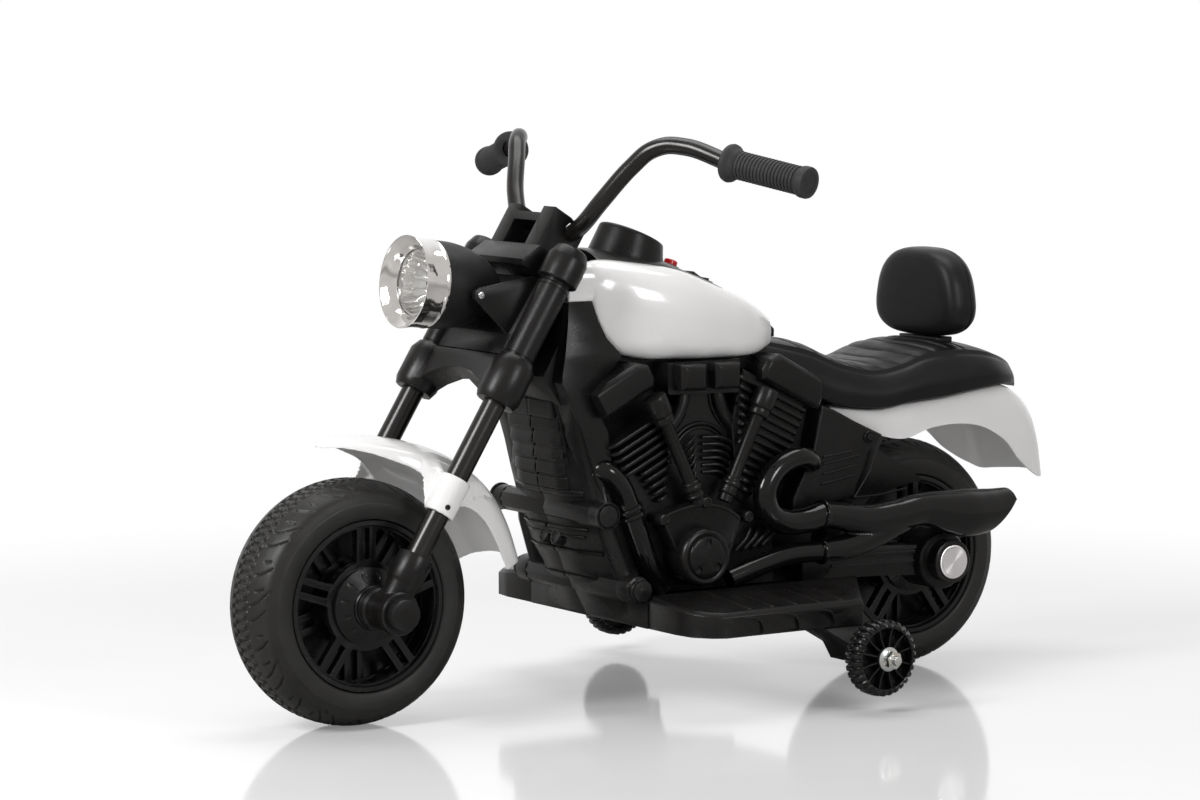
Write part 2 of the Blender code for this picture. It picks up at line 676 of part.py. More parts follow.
def top_clamp():
    """The upper yoke with its visor over the lamp and the windowed riser that holds the bar."""
    low, high = TOP_CLAMP_BOTTOM, TOP_CLAMP_TOP
    half = TOP_CLAMP_HALF_WIDTH
    plan = ((-STEM_OFFSET, -0.016), (-0.003, -half), (0.018, -half), (0.018, half), (-0.003, half),
            (-STEM_OFFSET, 0.016))
    plate = loft([[fork_point(s, v, w) for v, w in plan] for s in (low, high)])
    boss = up_fork(((0.016, low), (0.016, high)), -STEM_OFFSET, 0)
    visor = fork_block(((low, 0.010), (low, 0.030), (low + 0.005, 0.034), (high + 0.009, 0.022),
                        (high + 0.009, 0.010)), -VISOR_HALF_WIDTH, VISOR_HALF_WIDTH)
    riser = fork_block(((high - 0.002, -0.026), (high - 0.002, 0.021), (RISER_TOP, 0.021),
                        (RISER_TOP, -0.002), (RISER_TOP - 0.006, -0.026)), -RISER_OUTER, RISER_OUTER)
    window = fork_block(((high + 0.010, -0.05), (high + 0.010, 0.05), (RISER_TOP - 0.018, 0.05),
                         (RISER_TOP - 0.018, -0.05)), -RISER_INNER, RISER_INNER)
    notch = fork_block(((RISER_TOP - 0.008, -0.05), (RISER_TOP - 0.008, 0.05), (RISER_TOP + 0.01, 0.05),
                        (RISER_TOP + 0.01, -0.05)), -RISER_INNER, RISER_INNER)
    reach = RISER_OUTER + 0.01
    bar_hole = rod(bore_radius(BAR_RADIUS, 10), fork_point(BAR_ROOT_UP, BAR_ROOT_AHEAD, -reach),
                   fork_point(BAR_ROOT_UP, BAR_ROOT_AHEAD, reach))
    stem_hole = up_fork(((STEM_RADIUS + GAP, 0.38), (STEM_RADIUS + GAP, high - 0.003)), -STEM_OFFSET, 0)
    keep("top_clamp", cut(fuse(plate, boss, visor, riser), window, notch, bar_hole, stem_hole),
         "steering", "black_plastic")
    stem = up_fork(((STEM_RADIUS, 0.272 + GAP), (STEM_RADIUS, high - 0.003 - GAP)), -STEM_OFFSET, 0)
    keep("steering_stem", stem, "steering", "zinc_steel")


def handlebar():
    """A bar bent up, out and back from the riser, with a ribbed grip on each end."""
    root = fork_point(BAR_ROOT_UP, BAR_ROOT_AHEAD)
    inner, *bends, outer = (Vector((station(x), y, z)) for x, y, z in (GRIP_START, *BAR_BENDS, GRIP_END))
    run = (outer - inner).normalized()
    left = [root + ACROSS * (RISER_OUTER + 0.003), *bends, inner, outer - run * 0.012]
    right = [Vector((p.x, -p.y, p.z)) for p in reversed(left)]
    keep("handlebar", tube(right + left, BAR_RADIUS, 7), "steering", "gloss_black")

    span = (outer - inner).length
    bore = bore_radius(BAR_RADIUS, 8)
    profile = [(GRIP_FLANGE_RADIUS - 0.002, 0), (GRIP_FLANGE_RADIUS, 0.003),
               (GRIP_FLANGE_RADIUS - 0.002, 0.007), (GRIP_RADIUS + 0.002, 0.012)]
    first, last = 0.016, span - 0.014
    for k in range(GRIP_RIBS):
        start = first + (last - first) * k / GRIP_RIBS
        pitch = (last - first) / GRIP_RIBS
        profile += [(GRIP_RADIUS, start + 0.15 * pitch), (GRIP_RADIUS + GRIP_RIB, start + 0.6 * pitch)]
    profile += [(GRIP_RADIUS, last), (GRIP_END_RADIUS, span - 0.009), (GRIP_END_RADIUS, span - 0.001),
                (GRIP_END_RADIUS - 0.001, span)]
    hollow = turned(((bore, -0.01), (bore, span - 0.0117)), inner, run, 8)
    both("grip", cut(turned(profile, inner, run, 8), hollow), "steering", "grip_rubber")


def lamp_axis():
    """The middle of the lamp's front rim, and the way the lamp points, a little upwards."""
    x, z = LAMP_FRONT
    return Vector((station(x), 0, z)), Vector((cos(LAMP_TILT), 0, sin(LAMP_TILT)))


def headlight():
    """The lamp: a black bowl, a chrome reflector with its flared rim, a clear lens and the bulb."""
    centre, forward = lamp_axis()
    seat_line = -BEZEL_LENGTH
    bowl_shape = ((LAMP_RADIUS, seat_line - GAP), (LAMP_RADIUS * 0.98, -0.052), (LAMP_RADIUS * 0.86, -0.074),
                  (LAMP_RADIUS * 0.62, -0.098), (LAMP_RADIUS * 0.30, -LAMP_LENGTH))
    hollow_shape = ((LAMP_RADIUS - LAMP_WALL, 0), (LAMP_RADIUS - LAMP_WALL, -0.050),
                    (LAMP_RADIUS * 0.50, -0.088))
    bowl = cut(turned(bowl_shape, centre, forward, LAMP_STEPS), turned(hollow_shape, centre, forward, LAMP_STEPS))
    keep("headlight_bowl", bowl, "steering", "black_plastic")

    step, inside = LENS_RADIUS + GAP, LAMP_RADIUS - LAMP_WALL - GAP
    rim_profile = (
        (LAMP_RADIUS, seat_line), (BEZEL_RADIUS - 0.0018, -0.012), (BEZEL_RADIUS, 0),
        (BEZEL_RADIUS - 0.0014, 0), (step, -0.0130), (step, -0.0160), (step - 0.0025, -0.0160),
        (0.0265, -0.036), (0.0068, -0.048), (0.0068, -0.0515), (0.0285, -0.0395), (inside, seat_line))
    keep("headlight_reflector", turned(rim_profile, centre, forward, LAMP_STEPS, ring=True), "steering", "chrome")

    lens = turned(((LENS_RADIUS, -0.0157), (LENS_RADIUS, -0.0138), (LENS_RADIUS * 0.62, -0.0112),
                   (0, -0.0102)), centre, forward, LAMP_STEPS)
    keep("headlight_lens", lens, "steering", "clear_lens")
    bulb = turned(((0.0065, -0.060), (0.0065, -0.034), (0.0040, -0.029)), centre, forward, 10)
    keep("headlight_bulb", bulb, "steering", "lamp_blue")


def headlight_bracket():
    """The panel between the fork covers, with an ear on each side that holds the lamp."""
    low, high = COLLAR_TOP + GAP, DOME_BOTTOM - GAP
    half = FORK_HALF_TRACK - UPPER_RADIUS - 0.0020
    panel = fork_block(((low, -0.008), (low, 0.009), (high, 0.006), (high, -0.008)), -half, half)
    screw_x, screw_z = station(LAMP_SCREW[0]), LAMP_SCREW[1]
    lamp_side = LAMP_RADIUS * 0.975
    pieces = []
    for side in (-1, 1):
        y0, y1 = sorted((side * EAR_FACE, side * (EAR_FACE - EAR_THICKNESS)))
        upper, lower = fork_point(high - 0.0015, -0.004), fork_point(high - 0.064, -0.004)
        tip = fork_point(high - 0.0015, 0.012)
        outline = ((upper.x, upper.z), (tip.x, tip.z), (screw_x + 0.001, screw_z + 0.0078),
                   (screw_x + 0.007, screw_z + 0.004), (screw_x + 0.0078, screw_z - 0.003),
                   (screw_x + 0.003, screw_z - 0.0078), (lower.x + 0.010, lower.z - 0.001),
                   (lower.x, lower.z))
        pieces.append(prism(outline, y0, y1))
        pieces.append(rod(0.006, (screw_x, side * (EAR_FACE - 0.001), screw_z),
                          (screw_x, side * lamp_side, screw_z), 8))
    keep("headlight_bracket", fuse(panel, *pieces), "steering", "black_plastic")


# Front fender stations from tip to tail: ridge x, ridge z, half width, side depth
FENDER_STATIONS = (
    (0.749, 0.2960, 0.0050, 0.0030), (0.737, 0.3010, 0.0240, 0.0060), (0.713, 0.3030, 0.0400, 0.0120),
    (0.686, 0.3020, 0.0520, 0.0200), (0.655, 0.2975, 0.0610, 0.0290), (0.625, 0.2885, 0.0660, 0.0440),
    (0.600, 0.2770, 0.0660, 0.0500), (0.575, 0.2600, 0.0640, 0.0420), (0.552, 0.2370, 0.0600, 0.0380),
    (0.533, 0.2060, 0.0550, 0.0350), (0.518, 0.1670, 0.0500, 0.0300),
)


def front_fender():
    """A saddle over the front tyre, held by a sleeve round each fork tube."""
    rings = []
    for i, (x, z, half, depth) in enumerate(FENDER_STATIONS):
        before = FENDER_STATIONS[max(i - 1, 0)]
        after = FENDER_STATIONS[min(i + 1, len(FENDER_STATIONS) - 1)]
        run = Vector((after[0] - before[0], 0, after[1] - before[1])).normalized()
        down = Vector((run.z, 0, -run.x))
        down = -down if down.z > 0 else down
        wall = min(FENDER_WALL, 0.6 * depth, 0.5 * half)
        ridge = Vector((station(x), 0, z))
        outer = [(-1, 1), (-0.92, 0.50), (-0.60, 0.12), (0, 0), (0.60, 0.12), (0.92, 0.50), (1, 1)]
        ring = [ridge + ACROSS * (a * half) + down * (b * depth) for a, b in outer]
        ring += [
            ridge + ACROSS * (a * (half - wall)) + down * (wall + b * (depth - wall))
            for a, b in reversed(outer)
        ]
        rings.append(ring)
    saddle = loft(rings)
    arms, bores = [], []
    for side in (-1, 1):
        y = side * FORK_HALF_TRACK
        corners = ((SLEEVE_BOTTOM, -0.013), (SLEEVE_BOTTOM, 0.016), (SLEEVE_TOP, 0.013), (SLEEVE_TOP, -0.010))
        outer = [fork_point(up, ahead, side * (FORK_HALF_TRACK - 0.008)) for up, ahead in corners]
        inner = [Vector((station(px), side * 0.0605, pz))
                 for px, pz in ((0.616, 0.246), (0.655, 0.263), (0.653, 0.280), (0.612, 0.266))]
        arms.append(loft([inner, outer]))
        arms.append(up_fork(((SLEEVE_RADIUS, SLEEVE_BOTTOM), (SLEEVE_RADIUS, SLEEVE_TOP)), 0, y, 14))
        bores.append(up_fork(((FORK_TUBE_RADIUS + GAP, SLEEVE_BOTTOM - 0.01),
                              (FORK_TUBE_RADIUS + GAP, SLEEVE_TOP + 0.01)), 0, y, FORK_SIDES))
    keep("front_fender", cut(fuse(saddle, *arms), *bores), "steering", "white_plastic")


# Body shells

def cover_top(x):
    """Height of the white covers' upper edge beside the console."""
    return along(TANK_CREST, x) - COVER_DROP


def core_top(x):
    return along(TANK_CREST, x) - CORE_DROP


def seat_low(x):
    return along(SEAT_LOW, x)


def core_outline():
    """Side view of the body between its flat sides, from the floor round the front and back."""
    neck_low = fork_point(HEADSTOCK_BOTTOM + 0.004, -STEM_OFFSET - 0.010)
    neck_high = fork_point(HEADSTOCK_TOP - 0.004, -STEM_OFFSET - 0.006)
    neck_rear = fork_point(HEADSTOCK_TOP - 0.001, -STEM_OFFSET - 0.020)
    under_tank = [(x, core_top(x)) for x in (0.425, 0.386, 0.334, 0.299, 0.255, SEAT_NOSE[0] + GAP)]
    under_seat = [(x, seat_low(x) - GAP) for x in (SEAT_NOSE[0] + GAP, 0.188, 0.162, 0.138)]
    under_fender = [(x, seat_low(x) - FENDER_WALL - 0.004) for x in (0.132, 0.105, 0.082)]
    foot = FLOOR_BOTTOM + 0.004
    rear = [(0.080, 0.262), (0.128, 0.205), (0.155, 0.165), (0.155, foot)]
    front = [(FLOOR_FRONT - 0.006, foot), (0.420, 0.140), (0.440, 0.213), (0.466, 0.300)]
    neck = [(point.x, point.z) for point in (neck_low, neck_high, neck_rear)]
    drawn = under_tank + under_seat + under_fender + rear + front
    return neck + [(station(x), z) for x, z in drawn]


def cavity_outline():
    """Side view of the room inside the shells."""
    floor = FLOOR_BOTTOM + SHELL_WALL
    top = [(x, core_top(x) - SHELL_WALL - 0.004) for x in (0.400, 0.334, 0.270, 0.232)]
    back = [(x, seat_low(x) - SHELL_WALL - 0.006) for x in (0.212, 0.190, 0.150, 0.118)]
    return ([(0.398, floor), (0.420, 0.150), (0.438, 0.215), (0.462, 0.262), (0.462, 0.325), (0.430, 0.390)]
            + top + back + [(0.112, 0.270), (0.137, 0.210), (0.165, 0.170), (0.165, floor)])


# Cowl sections from bottom to top: height, front at the centre, front at the edge, half width
COWL_SECTIONS = (
    (0.0920, 0.4140, 0.4100, 0.0820), (0.1180, 0.4280, 0.4140, 0.0820), (0.1450, 0.4440, 0.4220, 0.0820),
    (0.1690, 0.4530, 0.4370, 0.0820), (0.1900, 0.4630, 0.4450, 0.0820), (0.2210, 0.4680, 0.4540, 0.0820),
    (0.2490, 0.4755, 0.4620, 0.0820), (0.3000, 0.4810, 0.4755, 0.0810), (0.3400, 0.4895, 0.4885, 0.0800),
    (0.3530, 0.4930, 0.4950, 0.0780),
)
# The front edge of the engine bay, and the panel between it and the front: height, edge
BAY_FRONT = (
    (0.0900, 0.3940), (0.1900, 0.4040), (0.2210, 0.4280), (0.2490, 0.4340), (0.3000, 0.4410),
    (0.3400, 0.4640), (0.3530, 0.4490), (0.3630, 0.4350), (0.3780, 0.4200), (0.3830, 0.4228),
    (0.3980, 0.4368), (0.4170, 0.4448), (0.4370, 0.4496),
)
# Height, front edge and half width of the panel that runs on up to the tank
NECK_PANEL = (
    (0.2300, 0.4480, 0.0835), (0.2490, 0.4560, 0.0835), (0.3000, 0.4720, 0.0830), (0.3400, 0.4900, 0.0820),
    (0.3530, 0.4965, 0.0800), (0.3630, 0.4950, 0.0785), (0.3780, 0.4920, 0.0780), (0.3830, 0.4910, 0.0775),
    (0.3980, 0.4875, 0.0750), (0.4170, 0.4830, 0.0705), (0.4370, 0.4790, 0.0655),
)


def cowl():
    """The front of the left shell, from the floor up to the neck, with its louvres."""
    rings = []
    for z, middle, edge, half in COWL_SECTIONS:
        rear = along(BAY_FRONT, z)
        rings.append([(0.380, -0.014, z), (middle, -0.014, z), (middle - 0.0015, half * 0.45, z),
                      (edge, half * 0.93, z), (edge - 0.009, half, z), (rear, half, z), (rear, 0.052, z),
                      (0.380, 0.052, z)])
    shape = loft(rings)
    panel = loft([[(along(BAY_FRONT, z), y, z) for y in (0.05, half)] + [(edge, y, z) for y in (half, 0.05)]
                  for z, edge, half in NECK_PANEL])
    grooves = []
    for k in range(LOUVRES):
        low = LOUVRE_BOTTOM + k * LOUVRE_PITCH
        front = along([(z, middle) for z, middle, _, _ in COWL_SECTIONS], low)
        edge = along([(z, edge) for z, _, edge, _ in COWL_SECTIONS], low)
        grooves.append(slab(((front - LOUVRE_DEPTH, -0.02), (front + 0.02, -0.02), (front + 0.02, 0.052),
                             (edge + 0.001, 0.052), (front - LOUVRE_DEPTH, 0.034)), low, low + LOUVRE_HEIGHT))
    return cut(fuse(shape, panel), *grooves)


def side_panel():
    """The ribbed panel under the front of the seat, with its screw boss, and the gusset behind it."""
    def top(x):
        return 0.3085 + (x - 0.150) * (0.3085 - 0.2705) / 0.080

    panel = prism(((0.158, top(0.150)), (0.150, top(0.150)), (0.072, top(0.072)), (0.080, 0.258),
                   (0.111, 0.205), (0.158, 0.205)), CORE_HALF_WIDTH - 0.008, ARM_FACE - 0.0035)
    boss = rod(0.0080, (0.097, 0.05, 0.2735), (0.097, ARM_FACE - 0.001, 0.2735), 12)
    gusset = prism(((0.112, 0.268), (0.066, 0.2575), (-0.001, 0.217), (0.097, 0.199), (0.120, 0.203)),
                   0.0540, CORE_HALF_WIDTH)
    ribs = []
    for k in range(4):
        z = 0.228 + 0.0088 * k
        ribs.append(prism(((0.119 - 0.003 * k, z), (0.154, z + 0.004), (0.154, z + 0.007),
                           (0.119 - 0.003 * k, z + 0.003)), 0.08, ARM_FACE - 0.0015))
    return fuse(panel, boss, gusset, *ribs)


def body_shells():
    """The two moulded halves of the body, open towards each other along the centre plane."""
    seam = GAP / 2
    core = prism(core_outline(), -0.01, CORE_HALF_WIDTH)
    floor = slab(((0.160, -0.012), (FLOOR_FRONT, -0.012), (FLOOR_FRONT, FLOOR_HALF_WIDTH),
                  (0.160, FLOOR_HALF_WIDTH)), FLOOR_BOTTOM, FLOOR_TOP)
    x, z = MID_PIPE
    mid_pipe = rod(MID_PIPE_RADIUS, (x, -0.016, z), (x, MID_PIPE_HALF_LENGTH, z), 10)
    x, z = LOW_PIPE
    shoulder = LOW_PIPE_HALF_LENGTH - 0.0095
    low_pipe = turned(((LOW_PIPE_RADIUS, -0.018), (LOW_PIPE_RADIUS, shoulder), (0.0115, shoulder + 0.0005),
                       (0.0115, LOW_PIPE_HALF_LENGTH)), (x, 0, z), steps=10)
    down_tube = tube(((0.446, 0.074, 0.240), (0.439, 0.078, 0.190), (0.426, 0.082, 0.155),
                      (0.415, 0.086, 0.128)), 0.0105, 8)
    neck = up_fork(((HEADSTOCK_RADIUS, HEADSTOCK_BOTTOM), (HEADSTOCK_RADIUS, HEADSTOCK_TOP)),
                   -STEM_OFFSET, 0, 14)
    outside = stretched(fuse(floor, cowl(), side_panel(), down_tube, mid_pipe, low_pipe))
    shape = fuse(core, outside, neck)
    room = stretched(prism(cavity_outline(), -0.02, CORE_HALF_WIDTH - SHELL_WALL))
    stem_bore = bore_radius(STEM_RADIUS, 10, SHAFT_PLAY)
    stem_hole = up_fork(((stem_bore, 0.28), (stem_bore, 0.42)), -STEM_OFFSET, 0)
    other_side = box(-1, 1, -1, seam, -1, 1)
    both("body", cut(shape, room, stem_hole, other_side), "frame", "black_plastic")


def tank_section(x):
    """One cross-section of the left white cover: its rounded outside and its stepped inside."""
    top, belly, wide = cover_top(x), along(TANK_BELLY, x), along(TANK_PLAN, x)
    middle, reach = (top + belly) / 2, (top - belly) / 2
    inner_top = CONSOLE_HALF_WIDTH + GAP + along(TANK_NOSE_FLARE, x)
    shelf = max(core_top(x) + GAP, belly + 0.55 * (top - belly))
    section = []
    for heading in (90, 62, 36, 12, -14, -42, -68, -90):
        turn = radians(heading)
        base = inner_top if heading > 0 else TANK_INNER + 0.0015
        section.append((base + (wide - base) * cos(turn) ** 0.62, middle + reach * sin(turn)))
    section[0] = (inner_top, top)
    section[-1] = (TANK_INNER + 0.0015, belly)
    section += [(TANK_INNER, belly), (TANK_INNER, shelf), (inner_top, shelf)]
    return [(x, y, z) for y, z in section]


def tank_covers():
    stations = (0.477, 0.468, 0.458, 0.449, 0.4445, 0.436, 0.425, 0.386, 0.334, 0.299, 0.255, 0.236, 0.217)
    cover = stretched(loft([tank_section(x) for x in stations]))
    both("tank_cover", cover, "frame", "white_plastic")


def console_normal(x):
    """The direction straight out of the console's crest."""
    step = 0.01
    rise = along(TANK_CREST, x + step) - along(TANK_CREST, x - step)
    return Vector((-rise, 0, 2 * step)).normalized()


def console_block(x, length, half, depth, height):
    """A block set square to the console's crest, for a switch or its pocket."""
    out = console_normal(x)
    run = ACROSS.cross(out)
    centre = crest_point(x)
    corners = ((-length / 2, -depth), (length / 2, -depth), (length / 2, height), (-length / 2, height))
    return loft([[centre + run * a + out * b + ACROSS * y for a, b in corners] for y in (-half, half)])


def console():
    """The black strip along the tank with its gauge pod, and holes for the button and the switch."""
    rings = []
    half = CONSOLE_HALF_WIDTH
    for x in (CONSOLE_FRONT, 0.386, 0.334, 0.299, 0.255, SEAT_NOSE[0] + GAP, SEAT_NOSE[0], CONSOLE_REAR):
        low, edge, crest = core_top(x) + GAP, cover_top(x) + 0.001, along(TANK_CREST, x)
        if x <= SEAT_NOSE[0]:
            low = SEAT_NOSE[1] + GAP
        rings.append([(x, -half, low), (x, half, low), (x, half, edge), (x, half * 0.55, crest - 0.0015),
                      (x, 0, crest), (x, -half * 0.55, crest - 0.0015), (x, -half, edge)])
    strip = loft(rings)
    base = [Vector((0.367 + POD_BASE_RADIUS * cos(t), 0.039 * sin(t), 0.474))
            for t in (2 * pi * k / 16 for k in range(16))]
    top = [Vector((0.3545 + POD_TOP_RADIUS * 0.93 * cos(t), 0.034 * sin(t),
                   0.5030 + POD_TOP_RADIUS * 0.41 * cos(t)))
           for t in (2 * pi * k / 16 for k in range(16))]
    pod = loft([base, top])
    out = console_normal(BUTTON_X)
    centre = crest_point(BUTTON_X)
    button_hole = rod(BUTTON_RADIUS + GAP, centre - out * (BUTTON_HEIGHT - BUTTON_PROUD + 0.003),
                      centre + out * 0.02, 14)
    pocket = console_block(SWITCH_X, SWITCH_LENGTH + 2 * SHAFT_PLAY, SWITCH_HALF_WIDTH + GAP,
                           SWITCH_HEIGHT - 0.002, 0.02)
    keep("console", cut(stretched(fuse(strip, pod)), button_hole, pocket), "frame", "black_plastic")

    button = turned(
        ((BUTTON_RADIUS, BUTTON_PROUD - BUTTON_HEIGHT), (BUTTON_RADIUS, BUTTON_PROUD - 0.001),
         (BUTTON_RADIUS - 0.001, BUTTON_PROUD)), centre, out, 14)
    keep("start_button", button, "start_button", "red_plastic")

    out = console_normal(SWITCH_X)
    run = ACROSS.cross(out)
    centre = crest_point(SWITCH_X)
    half_length = SWITCH_LENGTH / 2
    outline = ((-0.007, -0.0105), (0.007, -0.0105), (half_length - 0.002, -0.001),
               (half_length - 0.0015, 0.0045), (0, 0.0022), (-half_length + 0.0015, 0.0045),
               (-half_length + 0.002, -0.001))
    rocker = loft([[centre + run * a + out * b + ACROSS * y for a, b in outline]
                   for y in (-SWITCH_HALF_WIDTH, SWITCH_HALF_WIDTH)])
    keep("power_switch", rocker, "power_switch", "black_plastic")


# Seat and backrest

def seat_station(x, sunk):
    """One cross-section of the seat; sunk lowers the quilted middle, for a channel."""
    low, half = seat_low(x) + GAP, along(SEAT_PLAN, x)
    crown = along(SEAT_CROWN, x) if x < CONSOLE_REAR - 1.5 * GAP else SEAT_NOSE[1]
    height = crown - low
    drop = CHANNEL_DEPTH * sunk
    right = [(half * 0.97, low), (half, low + 0.30 * height), (half * 0.90, low + 0.62 * height),
             (half * 0.80, crown - 0.20 * height - 0.3 * drop), (half * 0.46, crown - 0.035 * height - drop)]
    points = [(-y, z) for y, z in reversed(right)]
    points = [(y, z) for y, z in right] + [(0, crown - drop)] + points
    return [(x, y, z) for y, z in points]


def seat():
    """A saddle with a dished front, cross channels over its middle and a slot for the backrest."""
    first, last = 0.172, -0.038
    pitch = (first - last) / SEAT_CHANNELS
    rings = [seat_station(x, 0) for x in (SEAT_NOSE[0], CONSOLE_REAR - GAP, CONSOLE_REAR - 2 * GAP, 0.184)]
    for k in range(SEAT_CHANNELS + 1):
        x = first - k * pitch
        rings.append(seat_station(x, 1))
        if k < SEAT_CHANNELS:
            rings.append(seat_station(x - 0.5 * pitch, 0))
    rings += [seat_station(x, 0) for x in (-0.055, -0.090, -0.120, -0.148, -0.172)]
    middle = PAD_FRONT - PAD_THICKNESS / 2
    slot = box(middle - POST_THICKNESS / 2 - GAP, middle + POST_THICKNESS / 2 + GAP,
               -POST_HALF_WIDTH - GAP, POST_HALF_WIDTH + GAP, 0.345, 0.45)
    keep("seat", cut(stretched(loft(rings)), slot), "frame", "black_plastic")
    post = box(middle - POST_THICKNESS / 2, middle + POST_THICKNESS / 2, -POST_HALF_WIDTH, POST_HALF_WIDTH,
               0.345 + GAP, PAD_BOTTOM - GAP)
    keep("backrest_post", post, "frame", "black_plastic")


def backrest():
    """The back pad: a rounded trapezium, crowned in front and flatter behind."""
    middle, half_height = (PAD_TOP + PAD_BOTTOM) / 2, (PAD_TOP - PAD_BOTTOM) / 2
    outline = []
    for k in range(18):
        turn = 2 * pi * k / 18
        y, z = cos(turn), sin(turn)
        y, z = (abs(v) ** 0.62 * (1 if v > 0 else -1) for v in (y, z))
        outline.append((y * PAD_HALF_WIDTH * (1.0 - 0.14 * z - 0.08 * z * z), z * half_height))
    rings = []
    for x, scale in ((0, 0.84), (-0.004, 0.95), (-0.012, 1.0), (-0.028, 1.0), (-0.038, 0.90),
                     (-PAD_THICKNESS, 0.72)):
        rings.append([(PAD_FRONT + x, y * scale, middle + z * scale) for y, z in outline])
    low = min(z for _, _, z in rings[2])
    pad = loft(rings)
    pad.data.transform(Matrix.Translation((0, 0, PAD_BOTTOM - low)))
    keep("backrest", pad, "frame", "black_plastic")


# Rear fender stations: side x, side bottom z, ridge x, ridge z, half width
REAR_FENDER = (
    (0.131, 0.3005, 0.131, None, 0.0660), (0.110, 0.2910, 0.110, None, 0.0720),
    (0.070, 0.2720, 0.070, None, 0.0770), (0.040, 0.2675, 0.040, None, 0.0800),
    (0.006, 0.2770, 0.006, None, 0.0810), (-0.033, 0.2800, -0.033, None, 0.0810),
    (-0.075, 0.2730, -0.080, None, 0.0790), (-0.108, 0.2560, -0.120, None, 0.0750),
    (-0.130, 0.2350, -0.154, 0.3110, 0.0700), (-0.147, 0.2230, -0.178, 0.2900, 0.0650),
    (-0.157, 0.2170, -0.196, 0.2580, 0.0610), (-0.161, 0.2150, -TAIL_REACH, 0.2100, 0.0590),
)


def rear_fender():
    """The white trough over the rear wheel, with wheel arches and a rounded tail."""
    rings = []
    wall = FENDER_WALL
    for side_x, low, ridge_x, ridge_z, half in REAR_FENDER:
        flat = ridge_z is None
        top = seat_low(ridge_x) - GAP if flat else ridge_z
        shoulder = top - 0.001 if flat else top - 0.12 * (top - low)
        inset = wall if flat else 0.8 * wall
        ends = {
            "ridge": (ridge_x, 0, top),
            "quarter": (ridge_x + (side_x - ridge_x) * 0.30, half * 0.58, top - (top - shoulder) * 0.5),
            "shoulder": (ridge_x + (side_x - ridge_x) * (1.0 if flat else 0.72), half * 0.93, shoulder - 0.002),
            "low": (side_x, half, low),
        }
        order = [ends[k] for k in ("low", "shoulder", "quarter", "ridge")]
        outer = order + [(x, -y, z) for x, y, z in reversed(order[:-1])]
        inner = []
        for x, y, z in outer:
            toward = max(0.0, min(1.0, (z - low) / max(top - low, 1e-6)))
            shift = inset * 0.9 if not flat else 0
            inner.append((x + shift * (0.3 + 0.7 * (1 - abs(y) / half)), y * (half - inset) / half,
                          z - inset * toward if flat else z - 0.25 * inset * toward))
        rings.append(outer + inner[::-1])
    keep("rear_fender", stretched(loft(rings)), "frame", "white_plastic")


# Engine, exhaust and swing arms

def cylinder_block(lean):
    """One finned cylinder leaning by this angle, with its rocker box and pushrod tube."""
    base = Vector((V_CENTRE + CYLINDER_OFFSET * lean / V_ANGLE, 0, CYLINDER_BASE))
    up = Vector((sin(lean), 0, cos(lean)))
    run = Vector((cos(lean), 0, -sin(lean)))
    inner = CORE_HALF_WIDTH + GAP
    rings = []
    pitch = CYLINDER_LENGTH / FINS
    for k in range(FINS):
        wide = 0.0200 + 0.0210 * k / (FINS - 1)
        for share, proud in ((0.0, 0), (0.42, 0), (0.46, 1), (0.94, 1)):
            half = wide if proud else wide - 0.006
            face = FIN_FACE if proud else FIN_ROOT
            centre = base + up * (pitch * (k + share) + 0.014)
            rings.append([
                centre + run * a + ACROSS * y
                for a, y in ((-half, inner), (half, inner), (half * 0.86, face), (-half * 0.86, face))
            ])
    finned = loft(rings)
    head = base + up * (CYLINDER_LENGTH + 0.011)
    outline = ((-0.045, 0), (0.045, 0), (0.046, 0.020), (0.036, 0.029), (-0.038, 0.029), (-0.046, 0.020))
    rocker = loft([[head + run * a * s + up * b * s + ACROSS * y for a, b in outline]
                   for y, s in ((inner, 1.0), (0.094, 1.0), (0.0985, 0.93))])
    return finned, rocker


def pushrod(lean):
    """A pushrod tube with a collar at each end, from the crankcase up to the cylinder head."""
    foot = Vector((V_CENTRE + (0.019 if lean > 0 else -0.030), 0.0995, 0.222))
    run = Vector((sin(lean), 0, cos(lean)))
    profile = ((0.0105, -0.014), (0.0105, 0.015), (0.0066, 0.017), (0.0066, 0.090), (0.0110, 0.094),
               (0.0115, 0.122))
    return turned(profile, foot, run, 7)


